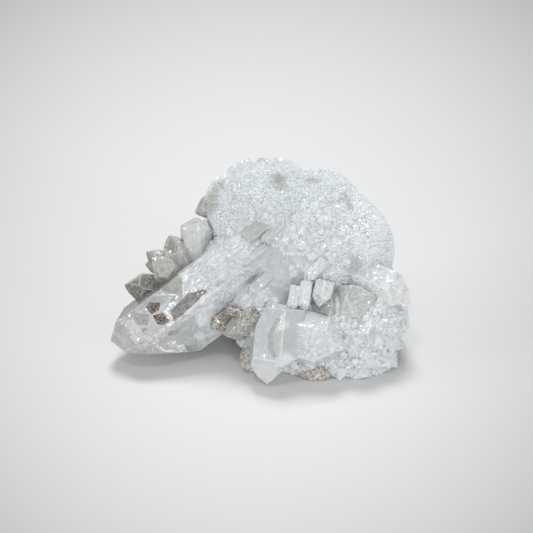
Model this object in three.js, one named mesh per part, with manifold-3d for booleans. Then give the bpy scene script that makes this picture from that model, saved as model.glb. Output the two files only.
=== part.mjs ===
// A druzy quartz cluster: one intergrown piece of quartz, about 90 mm wide.
//
// Frame, in millimetres: +X to the right, +Y away from the viewer, +Z up.
// The origin is on the ground, under the middle of the cluster.
//
// The cluster is built in three steps and joined into one solid:
//   swells    rounded lumps of massive quartz, each studded with small points (the druse)
//   crystals  hexagonal prisms with a pyramid at the free end, by the angles of real quartz
//   base      a flat break that the cluster rests on

import * as THREE from 'three';
import { ConvexGeometry } from 'three/addons/geometries/ConvexGeometry.js';
import { mergeVertices } from 'three/addons/utils/BufferGeometryUtils.js';
import Module from 'manifold-3d';

const wasm = await Module();
wasm.setup();

// Driving dimensions

const BASE_Z = 0; // the flat break that the cluster rests on
const WIDEST = 100; // more than the cluster measures any way from the origin
const FACE_TILT = THREE.MathUtils.degToRad(51.8); // angle from the long axis to a pyramid face's normal
const ALTERNATE = [0, 0.16, 0, 0.16, 0, 0.16]; // how far the pyramid faces stand off the tip, in half widths
const POINT_SPACING = 2.7; // distance between neighbouring corners of a swell's skin
const BALL_EDGE = 1.1; // edge of the icosahedron that the skin starts from, as a share of its radius
const FEWEST_CUTS = 3; // the least that such an edge is cut into, less one
const POINT_HEIGHTS = [0.52, 1.44]; // how far the lowest and the highest druse point stand out
const SKIN_DROP = 0.25; // how far the skin between the points is sunk
const SKIN_STRAY = 0.43; // how far a corner strays along the skin
const ROLL = 1.1; // height of the broad unevenness of a swell
const ROLL_LENGTH = 13; // its wavelength

// Swells: centre, half sizes, and the way that the first half size points

const RIDGE_WAY = [0.8, 0.3, 0.52];
const SWELLS = [
  { centre: [15.5, 7.5, 26], half: [24.5, 18.5, 25] }, // the dome's right
  { centre: [17, 9, 33], half: [16, 15, 20.5] }, // the dome's middle
  { centre: [3.5, 9, 31.5], half: [17, 16, 25.8] }, // the dome's left
  { centre: [-4, 9, 41], half: [12, 12, 15] }, // its left shoulder
  { centre: [-1, 3, 33.5], half: [24, 9.5, 9.5], way: RIDGE_WAY }, // the ridge behind the clear point
  { centre: [26, -6, 11], half: [16.5, 14.5, 14] }, // lower right
  { centre: [25, -12, 5], half: [14.5, 8.5, 9] }, // its foot
  { centre: [14, -11, 9], half: [13, 10, 12] }, // lower front
  { centre: [3, -5, 13.5], half: [11.5, 12, 13] }, // lower middle
  { centre: [-10, 8, 17], half: [16, 13.5, 14.5] }, // under the ridge
  { centre: [9, 13.5, 12], half: [25, 12.5, 16] }, // back foot
  { centre: [10, 2, 8], half: [15, 11, 10.5] }, // the core above the base
  { centre: [-2.6, -13, 2.6], half: [3.4, 4.6, 4.4] }, // brown matrix left of the milky block
  { centre: [16.2, -18.6, 1.4], half: [5.2, 3.6, 3.6] }, // brown matrix right of it
];

// Crystals: free tip, the way the tip points, half width, length, turn about the axis in
// degrees, where the six sides stand as shares of the half width, how far each pyramid face
// stands off the tip, and cuts, which are breaks, each by the way that it faces and its depth
// below the tip. A cut of negative depth stands in front of the tip and trims a side.

const EVEN = [1, 1, 1, 1, 1, 1];
const BLOCKY = [1, 0.82, 1.1, 0.95, 0.86, 1.05];

const CLEAR_POINT = {
  tip: [-44.9, -12, 5.3],
  way: [-0.8, -0.3, -0.52],
  across: [0.598, -0.321, -0.735], // the way of the first side before the turn, towards the ground
  half: 10,
  length: 63,
  turn: -12,
  sides: [1.67, 0.913, 0.614, 0.64, 0.95, 1.33],
  caps: [0, 0.16, 0, 0.9, 0.2, 0.16],
  cuts: [
    { way: [-0.545, -0.3, -0.786], depth: 2.4 }, // the break under the tip
    { way: [-0.952, 0.13, 0.278], depth: -0.8 }, // the worn left edge
  ],
};

const MILKY_BLOCK = {
  tip: [1.9, -24.4, 0.6],
  way: [-0.1, -0.37, -0.92],
  half: 6.9,
  length: 23,
  turn: 10,
  sides: [0.9, 0.78, 0.95, 0.95, 1.2, 1.2],
  cuts: [{ way: [-0.89, 0.19, 0.41], depth: -10.7 }], // its top left corner
};

const GREY_FACE = {
  tip: [-6.3, -3.9, 36],
  way: [-0.77, -0.15, -0.6],
  across: [-0.2, -0.857, 0.474], // the way that the grey face looks
  half: 2.6,
  length: 20,
  turn: 0,
  sides: [1, 1.1, 1.3, 1, 1.1, 1.1],
  cuts: [{ way: [1, -0.2, 0], depth: -10.6 }],
};

const LARGE_CRYSTALS = [
  // what the milky block leans on
  { tip: [26.2, -21, 10.8], way: [0.97, -0.15, -0.2], half: 6.5, length: 25, turn: 15, sides: BLOCKY },
  // lower right
  { tip: [30.9, -23, 16.4], way: [0.12, -0.9, 0.42], half: 5.8, length: 18, turn: 20, sides: BLOCKY },
  { tip: [45, -8.5, 19.3], way: [0.9, -0.28, -0.33], half: 6.2, length: 20, turn: 30, sides: EVEN },
  { tip: [24.6, -14.5, 28], way: [-0.25, -0.35, 0.9], half: 6.8, length: 16, turn: 25, sides: BLOCKY },
  { tip: [20.5, -14.5, 25], way: [0.1, -0.3, 0.95], half: 4.5, length: 12, turn: 0, sides: EVEN },
  // the far side
  { tip: [16, 28.7, 27], way: [0.12, 1, 0.1], half: 5.4, length: 16, turn: 10, sides: BLOCKY },
  { tip: [-4, 26.6, 16], way: [-0.25, 1, -0.1], half: 5, length: 16, turn: 35, sides: BLOCKY },
  { tip: [-9, 23, 38], way: [-0.4, 0.85, 0.3], half: 4.4, length: 14, turn: 20, sides: EVEN },
  // the left side, from the dome down to the clear point
  { tip: [-20.2, 4, 43], way: [-0.04, 0, 1], half: 3.8, length: 20, turn: 16, sides: BLOCKY,
    cuts: [{ way: [-0.3, 0, 1], depth: 2.8 }] },
  { tip: [-19.9, 8, 41.2], way: [-0.86, -0.2, -0.3], half: 3.2, length: 14, turn: 0, sides: EVEN },
  { tip: [-27.5, 4, 35.8], way: [-0.42, 0, 0.9], half: 4.4, length: 18, turn: 15, sides: BLOCKY },
  { tip: [-32.6, 0, 30], way: [-0.62, -0.3, 0.7], half: 4.3, length: 17, turn: 40, sides: EVEN },
  { tip: [-41.3, 0, 20.9], way: [-0.95, -0.12, 0.16], half: 4.2, length: 18, turn: 20, sides: EVEN },
  // between the clear point and the milky block
  { tip: [-10.6, -14.5, 11.4], way: [-0.85, -0.45, -0.3], half: 3.7, length: 16, turn: 0, sides: BLOCKY },
  { tip: [-7.2, -17.9, 15], way: [-0.7, -0.68, -0.1], half: 4.4, length: 15, turn: 25, sides: EVEN },
];

const SMALL_CRYSTALS = [
  // the short bright prisms under the dome
  { tip: [17, -16, 21.4], way: [-0.25, -0.5, -0.83], half: 2.8, length: 8, turn: 12, sides: EVEN },
  { tip: [12.8, -13, 28], way: [-0.62, -0.42, -0.6], half: 2, length: 9, turn: 0, sides: EVEN },
  { tip: [8.9, -17, 20.3], way: [-0.2, -0.5, -0.84], half: 1.6, length: 8, turn: 20, sides: EVEN },
  { tip: [12.4, -17, 20.6], way: [-0.14, -0.5, -0.85], half: 1.8, length: 9, turn: 30, sides: EVEN },
  // on the ridge, along it
  { tip: [-0.1, -6, 37.5], way: [-0.77, -0.15, -0.6], half: 1.6, length: 11, turn: 18, sides: EVEN,
    cuts: [{ way: [1, -0.2, 0], depth: -7 }] },
  { tip: [-5.8, -8.1, 30.8], way: [-0.79, -0.2, -0.58], half: 1.5, length: 10, turn: 18, sides: EVEN },
  { tip: [-3.9, -10, 22], way: [-0.72, -0.4, -0.56], half: 2.2, length: 12, turn: 18, sides: EVEN },
  { tip: [-15, -7.5, 31], way: [-0.4, -0.75, 0.5], half: 2.4, length: 9, turn: 0, sides: EVEN },
  // brownish ones under the ridge
  { tip: [-1.2, -14.5, 17.6], way: [0.9, -0.3, -0.1], half: 1.5, length: 9, turn: 10, sides: EVEN },
  { tip: [-14.9, -12, 12.4], way: [-0.75, -0.6, -0.3], half: 2.5, length: 11, turn: 25, sides: EVEN },
  { tip: [-12, -11.5, 10.8], way: [-0.8, -0.5, -0.35], half: 2.2, length: 10, turn: 50, sides: EVEN },
  // beside the smoky crystals
  { tip: [-16.6, 4, 41.2], way: [0.1, -0.06, 1], half: 2.4, length: 16, turn: 10, sides: EVEN },
  { tip: [-34.6, 4, 30.3], way: [-0.85, 0.1, 0.5], half: 2.6, length: 12, turn: 20, sides: EVEN },
  { tip: [-35, 3, 26.6], way: [-0.96, -0.1, 0.2], half: 2.2, length: 12, turn: 0, sides: EVEN },
  // the lower right edge
  { tip: [45, -9, 11.8], way: [0.95, -0.2, 0.05], half: 3.4, length: 14, turn: 15, sides: EVEN },
  { tip: [43.8, -9, 5], way: [0.95, -0.25, -0.05], half: 3.2, length: 13, turn: 45, sides: EVEN },
  { tip: [38.4, -15, 6.4], way: [0.7, -0.68, -0.1], half: 3.2, length: 12, turn: 30, sides: EVEN },
  { tip: [37.6, -16.6, 15.6], way: [0.55, -0.8, 0.2], half: 3.4, length: 12, turn: 0, sides: EVEN },
  { tip: [33, -20, 5], way: [0.3, -0.9, -0.1], half: 3.2, length: 11, turn: 10, sides: EVEN },
  { tip: [24, -20.4, 3.6], way: [-0.1, -0.95, 0.1], half: 2.8, length: 10, turn: 40, sides: EVEN },
];

// The far side, which carries crystals of middle size all over

const BACK_CRYSTALS = 18;
const BACK_HALF = [2.4, 4.6]; // smallest and largest half width
const BACK_STANDS = [1.5, 3]; // how far the smallest and the largest stand out of the skin
const BACK_APART = 8.5; // least distance between two of them
const BACK_LEAN = 0.45; // how far one leans from square to the skin
const BACK_RISE = [-0.45, 1.05]; // lowest and highest place on a swell, in radians above its middle
const BACK_FACING = 0.5; // how squarely the skin there has to face the far side, at most 1
const BACK_LOWEST = 5; // least height above the base
const SAFE_DEPTH = 0.5; // a place any deeper in another swell counts as buried
const BACK_SEED = 11;
const FAR_SWELLS = [0, 2, 10]; // the swells that make the far side

/** A repeatable stream of numbers from 0 to 1. */
function stream(seed) {
  let state = seed >>> 0;
  return () => {
    state = (state + 0x6d2b79f5) >>> 0;
    let mixed = Math.imul(state ^ (state >>> 15), state | 1);
    mixed ^= mixed + Math.imul(mixed ^ (mixed >>> 7), mixed | 61);
    return ((mixed ^ (mixed >>> 14)) >>> 0) / 4294967296;
  };
}

/** A vector with each part between -most and most. */
function stray(random, most) {
  return new THREE.Vector3(random() - 0.5, random() - 0.5, random() - 0.5).multiplyScalar(2 * most);
}

/** A three.js geometry as a solid that can be joined and cut. */
function toSolid(geometry) {
  const bare = geometry.clone();
  bare.deleteAttribute('normal');
  bare.deleteAttribute('uv');
  const merged = mergeVertices(bare, 1e-4);
  const mesh = new wasm.Mesh({
    numProp: 3,
    vertProperties: new Float32Array(merged.attributes.position.array),
    triVerts: new Uint32Array(merged.index.array),
  });
  return new wasm.Manifold(mesh);
}

/** A solid as a flat-shaded three.js geometry. */
function toGeometry(solid) {
  const mesh = solid.getMesh();
  const geometry = new THREE.BufferGeometry();
  geometry.setAttribute('position', new THREE.BufferAttribute(new Float32Array(mesh.vertProperties), 3));
  geometry.setIndex(new THREE.BufferAttribute(new Uint32Array(mesh.triVerts), 1));
  geometry.computeVertexNormals();
  return geometry;
}

/** Three axes at right angles: the first along way, the second as near to across as it can be. */
function axesFrom(way, across = [0, 0, 1]) {
  const first = new THREE.Vector3(...way).normalize();
  let second = new THREE.Vector3(...across);
  if (Math.abs(second.clone().normalize().dot(first)) > 0.95) {
    second = new THREE.Vector3(1, 0, 0);
  }
  second.addScaledVector(first, -second.dot(first)).normalize();
  const third = new THREE.Vector3().crossVectors(first, second);
  return [first, second, third];
}

/** The corners of the convex body that lies behind every plane: normal . p <= reach. */
function cornersOf(planes) {
  const corners = [];
  const slack = 1e-6;
  for (let i = 0; i < planes.length; i += 1) {
    for (let j = i + 1; j < planes.length; j += 1) {
      const line = new THREE.Vector3().crossVectors(planes[i].normal, planes[j].normal);
      for (let k = j + 1; k < planes.length; k += 1) {
        const volume = line.dot(planes[k].normal);
        if (Math.abs(volume) > slack) {
          const point = new THREE.Vector3().crossVectors(planes[j].normal, planes[k].normal)
            .multiplyScalar(planes[i].reach)
            .addScaledVector(
              new THREE.Vector3().crossVectors(planes[k].normal, planes[i].normal), planes[j].reach)
            .addScaledVector(line, planes[k].reach)
            .divideScalar(volume);
          const inside = planes.every((plane) => plane.normal.dot(point) <= plane.reach + slack);
          const known = corners.some((corner) => corner.distanceTo(point) < 1e-4);
          if (inside && !known) {
            corners.push(point);
          }
        }
      }
    }
  }
  return corners;
}

/**
 * A quartz crystal: six sides, six pyramid faces of which every other one is set back, and a
 * flat hidden end. The three main faces meet in the tip unless it is broken off.
 */
function crystalGeometry({ tip, way, across, half, length, turn, sides, caps = ALTERNATE, cuts = [] }) {
  const [axis, first, second] = axesFrom(way, across);
  const point = new THREE.Vector3(...tip);
  const planes = [{ normal: axis.clone().negate(), reach: length - axis.dot(point) }];
  for (let side = 0; side < 6; side += 1) {
    const angle = THREE.MathUtils.degToRad(turn + 60 * side);
    const outward = first.clone().multiplyScalar(Math.cos(angle))
      .addScaledVector(second, Math.sin(angle));
    planes.push({ normal: outward, reach: outward.dot(point) + half * sides[side] });
    const slope = outward.clone().multiplyScalar(Math.sin(FACE_TILT))
      .addScaledVector(axis, Math.cos(FACE_TILT));
    planes.push({ normal: slope, reach: slope.dot(point) + half * caps[side] });
  }
  for (const { way: cutWay, depth } of cuts) {
    const facing = new THREE.Vector3(...cutWay).normalize();
    planes.push({ normal: facing, reach: facing.dot(point) - depth });
  }
  return new ConvexGeometry(cornersOf(planes));
}

/** The broad unevenness of the massive quartz at a place, from -1 to 1. */
function roll(p) {
  const k = (2 * Math.PI) / ROLL_LENGTH;
  return (Math.sin(k * (p.x + 0.6 * p.y)) + Math.sin(k * (0.8 * p.y - p.z) + 1.7)
    + Math.sin(k * (0.7 * p.z + 0.9 * p.x) + 4.1)) / 3;
}

/** For each corner of a merged mesh, the set of corners that it shares an edge with. */
function neighboursOf(index, count) {
  const neighbours = Array.from({ length: count }, () => new Set());
  for (let i = 0; i < index.length; i += 3) {
    for (let j = 0; j < 3; j += 1) {
      const here = index[i + j];
      neighbours[here].add(index[i + ((j + 1) % 3)]);
      neighbours[here].add(index[i + ((j + 2) % 3)]);
    }
  }
  return neighbours;
}

/**
 * A lump of massive quartz: an ellipsoid with a rolling surface. Corners of its skin that no
 * other peak touches are lifted into peaks, so each peak is a six-sided druse point.
 */
function swellGeometry({ centre, half, way = [1, 0, 0] }, seed) {
  const [first, second, third] = axesFrom(way, [0, 1, 0]);
  const size = Math.cbrt(half[0] * half[1] * half[2]);
  const detail = Math.max(FEWEST_CUTS, Math.round((BALL_EDGE * size) / POINT_SPACING) - 1);
  const ball = new THREE.IcosahedronGeometry(1, detail);
  ball.deleteAttribute('normal');
  ball.deleteAttribute('uv');
  const skin = mergeVertices(ball, 1e-5);
  const corners = skin.attributes.position;
  const neighbours = neighboursOf(skin.index.array, corners.count);
  const isPeak = new Array(corners.count).fill(false);
  const random = stream(seed);
  for (let i = 0; i < corners.count; i += 1) {
    isPeak[i] = ![...neighbours[i]].some((other) => isPeak[other]);
  }
  for (let i = 0; i < corners.count; i += 1) {
    const unit = new THREE.Vector3().fromBufferAttribute(corners, i);
    const offset = first.clone().multiplyScalar(unit.x * half[0])
      .addScaledVector(second, unit.y * half[1])
      .addScaledVector(third, unit.z * half[2]);
    const outward = first.clone().multiplyScalar(unit.x / half[0])
      .addScaledVector(second, unit.y / half[1])
      .addScaledVector(third, unit.z / half[2]).normalize();
    const place = offset.add(new THREE.Vector3(...centre));
    const lift = isPeak[i] ? THREE.MathUtils.lerp(...POINT_HEIGHTS, random()) : -SKIN_DROP;
    place.addScaledVector(outward, lift + ROLL * roll(place));
    place.add(stray(random, SKIN_STRAY));
    corners.setXYZ(i, place.x, place.y, place.z);
  }
  return skin;
}

/** True if a place lies deeper than depth in any swell but the one that is left out. */
function isBuried(place, leftOut, depth) {
  return SWELLS.some((swell, i) => {
    if (i === leftOut) {
      return false;
    }
    const [first, second, third] = axesFrom(swell.way ?? [1, 0, 0], [0, 1, 0]);
    const offset = place.clone().sub(new THREE.Vector3(...swell.centre));
    return Math.hypot(
      offset.dot(first) / (swell.half[0] - depth),
      offset.dot(second) / (swell.half[1] - depth),
      offset.dot(third) / (swell.half[2] - depth)) < 1;
  });
}

/** Crystals of middle size over the far side, each standing about square to the skin. */
function backCrystals() {
  const random = stream(BACK_SEED);
  const found = [];
  while (found.length < BACK_CRYSTALS) {
    const which = FAR_SWELLS[Math.floor(random() * FAR_SWELLS.length)];
    const { centre, half } = SWELLS[which];
    const heading = random() * Math.PI;
    const rise = THREE.MathUtils.lerp(...BACK_RISE, random());
    const unit = new THREE.Vector3(
      Math.cos(heading) * Math.cos(rise), Math.sin(heading) * Math.cos(rise), Math.sin(rise));
    const place = new THREE.Vector3(...centre)
      .add(new THREE.Vector3(unit.x * half[0], unit.y * half[1], unit.z * half[2]));
    const normal = new THREE.Vector3(unit.x / half[0], unit.y / half[1], unit.z / half[2]).normalize();
    const share = random();
    const width = THREE.MathUtils.lerp(...BACK_HALF, share);
    const way = normal.clone().add(stray(random, BACK_LEAN));
    const turn = 60 * random();
    const isFar = normal.y > BACK_FACING && place.z > BACK_LOWEST;
    const isClear = found.every((other) => place.distanceTo(new THREE.Vector3(...other.tip)) > BACK_APART);
    if (isFar && isClear && !isBuried(place, which, SAFE_DEPTH)) {
      const tip = place.addScaledVector(normal, THREE.MathUtils.lerp(...BACK_STANDS, share));
      found.push({
        tip: tip.toArray(), way: way.toArray(), half: width, length: 4 * width, turn, sides: BLOCKY });
    }
  }
  return found;
}

/** The whole cluster as one solid, cut off flat at the base. */
function clusterSolid() {
  const lumps = SWELLS.map((swell, i) => toSolid(swellGeometry(swell, i + 1)));
  const named = [CLEAR_POINT, MILKY_BLOCK, GREY_FACE, ...LARGE_CRYSTALS, ...SMALL_CRYSTALS];
  const points = [...named, ...backCrystals()]
    .map((crystal) => toSolid(crystalGeometry(crystal)));
  const grown = [...lumps, ...points].reduce((whole, piece) => whole.add(piece));
  const below = new THREE.BoxGeometry(2 * WIDEST, 2 * WIDEST, WIDEST);
  below.translate(0, 0, BASE_Z - WIDEST / 2);
  return grown.subtract(toSolid(below));
}

const quartz = new THREE.MeshStandardMaterial({ color: 0xdfe5e8, roughness: 0.18, metalness: 0 });
const cluster = new THREE.Mesh(toGeometry(clusterSolid()), quartz);
cluster.name = 'quartz_cluster';

const group = new THREE.Group();
group.add(cluster);

export default group;
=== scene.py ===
"""A druzy quartz cluster: a domed mass of fine druse, a large clear point and blocky crystals.

Lengths are in millimetres while a shape is worked out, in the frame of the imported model: +X to the
right, +Y away from the viewer, +Z up, with the origin on the ground under the cluster's middle.
They become metres when a mesh is made.
"""

from __future__ import annotations

import itertools
import logging
import math
from dataclasses import dataclass, replace
from enum import Enum
from functools import cache
from typing import Any, Callable, Sequence

import bpy
import numpy as np
from mathutils import Vector
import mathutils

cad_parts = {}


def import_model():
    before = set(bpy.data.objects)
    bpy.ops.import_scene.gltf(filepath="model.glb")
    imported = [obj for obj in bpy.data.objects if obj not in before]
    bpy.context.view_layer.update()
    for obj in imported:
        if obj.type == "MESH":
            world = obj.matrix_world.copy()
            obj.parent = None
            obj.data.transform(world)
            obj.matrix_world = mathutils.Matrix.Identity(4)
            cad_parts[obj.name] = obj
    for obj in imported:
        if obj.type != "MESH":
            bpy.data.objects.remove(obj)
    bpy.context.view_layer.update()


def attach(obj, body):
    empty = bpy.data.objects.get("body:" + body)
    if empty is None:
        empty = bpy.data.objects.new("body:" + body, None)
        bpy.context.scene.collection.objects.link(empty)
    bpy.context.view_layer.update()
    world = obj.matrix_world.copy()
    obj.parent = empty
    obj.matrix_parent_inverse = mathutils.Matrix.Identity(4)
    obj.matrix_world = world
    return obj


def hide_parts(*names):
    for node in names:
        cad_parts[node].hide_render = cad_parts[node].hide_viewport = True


LOG = logging.getLogger("quartz")

MM = 0.001
NODE = "quartz_cluster"
FACE_TILT = math.radians(51.8)  # angle from a crystal's long axis to the normal of a pyramid face
QUARTZ_IOR = 1.544
RIDGE_WAY = (0.8, 0.3, 0.52)  # the way that the crystals of the ridge lie
EVEN = (1.0, 1.0, 1.0, 1.0, 1.0, 1.0)
BLOCKY = (1.0, 0.82, 1.1, 0.95, 0.86, 1.05)
ALTERNATE = (0.0, 0.16, 0.0, 0.16, 0.0, 0.16)
UP = (0.0, 0.0, 1.0)
SIDES = 6
SIDE_TURN = 360 / SIDES  # degrees from one side of a crystal to the next
FILM_PROUD = 0.03  # how far a film stands out of the face that it is in
FILM_THICK = 0.3
TONE = "tone"  # the attribute of a mesh that holds the tone of each face
MEAN_TONE = 0.5
# painted highlight: the white that the small faces along crystal edges are painted
PAINTED_EDGE_HIGHLIGHT = (0.95, 0.97, 0.98)

Triple = tuple[float, float, float]


def unit(vectors: np.ndarray | Sequence[float]) -> np.ndarray:
    """Vectors divided by their length: one alone, or an array with a vector in each row."""
    array = np.asarray(vectors, float)
    return array / np.linalg.norm(array, axis=-1, keepdims=True)


def axes_from(way: Sequence[float], across: Sequence[float]) -> np.ndarray:
    """Three axes at right angles.

    Args:
        way: The first axis.
        across: What the second axis lies as near to as it can.

    Returns:
        The axes as the rows of a 3 by 3 array.
    """
    first = unit(way)
    near = np.asarray(across, float)
    if abs(float(unit(near) @ first)) > 0.95:
        near = np.array((1.0, 0.0, 0.0))
    second = unit(near - (near @ first) * first)
    return np.array((first, second, np.cross(first, second)))


def frames_along(ways: np.ndarray, spins: np.ndarray) -> tuple[np.ndarray, np.ndarray]:
    """Two axes square to each of many long axes, turned about it.

    Args:
        ways: Long axes of length 1, one a row.
        spins: The turn of each about its long axis, in radians.

    Returns:
        The two axes, one row for each long axis.
    """
    helper = np.where(np.abs(ways[:, 2:3]) < 0.8, np.array((0.0, 0.0, 1.0)), np.array((1.0, 0.0, 0.0)))
    first = unit(np.cross(ways, helper))
    second = np.cross(ways, first)
    cos, sin = np.cos(spins)[:, None], np.sin(spins)[:, None]
    return cos * first + sin * second, cos * second - sin * first


def waves(points: np.ndarray, length: float, seed: int, count: int = 12) -> np.ndarray:
    """A smooth random height at each place: the mean of plane sine waves that run in random ways.

    Args:
        points: Places, one a row.
        length: The mean wavelength.
        seed: Picks the waves.
        count: How many waves are summed.

    Returns:
        A height of about -1 to 1 for each place.
    """
    random = np.random.default_rng(seed)
    ways = unit(random.normal(size=(count, 3))) * (2 * math.pi / length)
    ways = ways * random.uniform(0.7, 1.5, (count, 1))
    return np.sin(points @ ways.T + random.uniform(0, 2 * math.pi, count)).sum(1) / math.sqrt(count)


@dataclass
class Skin:
    """A mesh in arrays: corners, the corner numbers of each face one after the other, and their counts.

    Attributes:
        corners: Places in millimetres, one a row.
        loops: The corner numbers of all faces in a row.
        counts: How many corners each face has.
        tone: A number from 0 to 1 for each face, which varies a finish from face to face; the small faces and
            strips along edges hold 1, which the finishes paint as highlights.
    """

    corners: np.ndarray
    loops: np.ndarray
    counts: np.ndarray
    tone: np.ndarray

    @staticmethod
    def joined(skins: Sequence[Skin]) -> Skin:
        """Several skins in one, in their order."""
        starts = np.cumsum([0] + [len(skin.corners) for skin in skins[:-1]])
        return Skin(
            np.concatenate([skin.corners for skin in skins]),
            np.concatenate([skin.loops + start for skin, start in zip(skins, starts)]),
            np.concatenate([skin.counts for skin in skins]),
            np.concatenate([skin.tone for skin in skins]),
        )

    def to_object(self, name: str, smooth: bool = False) -> bpy.types.Object:
        """Makes a Blender object with this skin as its mesh, pressed flat where it would go below the ground.

        Args:
            name: The object's name.
            smooth: Whether its faces are shaded smooth.

        Returns:
            The object, linked to the scene.
        """
        mesh = bpy.data.meshes.new(name)
        corners = self.corners.copy()
        corners[:, 2] = np.maximum(corners[:, 2], 0.0)
        mesh.vertices.add(len(corners))
        mesh.vertices.foreach_set("co", (corners * MM).astype(np.float32).ravel())
        mesh.loops.add(len(self.loops))
        mesh.loops.foreach_set("vertex_index", self.loops.astype(np.int32))
        mesh.polygons.add(len(self.counts))
        starts = np.concatenate(([0], np.cumsum(self.counts)[:-1]))
        mesh.polygons.foreach_set("loop_start", starts.astype(np.int32))
        mesh.update(calc_edges=True)
        mesh.validate()
        mesh.attributes.new(TONE, "FLOAT", "FACE").data.foreach_set("value", self.tone.astype(np.float32))
        mesh.polygons.foreach_set("use_smooth", np.full(len(mesh.polygons), smooth))
        piece = bpy.data.objects.new(name, mesh)
        bpy.context.scene.collection.objects.link(piece)
        return piece


@dataclass(frozen=True)
class Swell:
    """A rounded lump of massive quartz: an ellipsoid with a rolling surface.

    Attributes:
        centre: Its middle.
        half: Its half sizes.
        way: The way that the first half size points.
    """

    centre: Triple
    half: Triple
    way: Triple = (1.0, 0.0, 0.0)

    ROLL = 1.1  # how high the roll of the surface is
    ROLL_LENGTH = 13.0
    FEWEST = 12  # the least number of corners around

    @property
    def axes(self) -> np.ndarray:
        """The ways of the three half sizes, one a row."""
        return axes_from(self.way, (0.0, 1.0, 0.0))

    @classmethod
    def roll(cls, points: np.ndarray) -> np.ndarray:
        """The broad unevenness of the quartz: the mean of three slanted sine waves, from -1 to 1."""
        k = 2 * math.pi / cls.ROLL_LENGTH
        x, y, z = points.T
        return (np.sin(k * (x + 0.6 * y)) + np.sin(k * (0.8 * y - z) + 1.7)
                + np.sin(k * (0.7 * z + 0.9 * x) + 4.1)) / 3

    def places(self, ways: np.ndarray) -> tuple[np.ndarray, np.ndarray]:
        """Points of the skin: the unit ball's point times the half sizes, lifted by the roll.

        Args:
            ways: Points of the unit ball, one a row.

        Returns:
            The points of the skin and the ways that it faces there.
        """
        axes, half = self.axes, np.array(self.half)
        points = np.array(self.centre) + (ways * half) @ axes
        facing = unit((ways / half) @ axes)
        return points + self.ROLL * self.roll(points)[:, None] * facing, facing

    def depth(self, points: np.ndarray) -> np.ndarray:
        """About how deep each place lies under the skin; below 0 it is outside."""
        share = ((points - np.array(self.centre)) @ self.axes.T) / np.array(self.half)
        return (1 - np.linalg.norm(share, axis=1)) * min(self.half) + self.ROLL * self.roll(points)

    def skin(self, step: float) -> Skin:
        """The lump as a closed mesh: rings of the same heading and rise, with one corner at each pole.

        Args:
            step: About how long an edge is.

        Returns:
            The mesh.
        """
        around = max(self.FEWEST, round(2 * math.pi * max(self.half) / step))
        rings = around // 2
        rise = (np.arange(1, rings) / rings - 0.5) * math.pi
        heading = np.arange(around) * 2 * math.pi / around
        rise, heading = (grid.ravel() for grid in np.meshgrid(rise, heading, indexing="ij"))
        ball = np.stack((np.cos(rise) * np.cos(heading), np.cos(rise) * np.sin(heading), np.sin(rise)), 1)
        ball = np.vstack((ball, (0.0, 0.0, -1.0), (0.0, 0.0, 1.0)))
        ring, column = (grid.ravel() for grid in np.meshgrid(
            np.arange(rings - 2), np.arange(around), indexing="ij"))
        after = (column + 1) % around
        quads = np.stack((ring * around + column, ring * around + after,
                          (ring + 1) * around + after, (ring + 1) * around + column), 1)
        column = np.arange(around)
        after = (column + 1) % around
        low, high, top = (rings - 1) * around, (rings - 1) * around + 1, (rings - 2) * around
        bottom_fan = np.stack((np.full(around, low), after, column), 1)
        top_fan = np.stack((np.full(around, high), top + column, top + after), 1)
        corners = self.places(ball)[0]
        return Skin(
            corners,
            np.concatenate((quads.ravel(), bottom_fan.ravel(), top_fan.ravel())),
            np.concatenate((np.full(len(quads), 4), np.full(2 * around, 3))),
            np.full(len(quads) + 2 * around, MEAN_TONE),
        )


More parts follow.
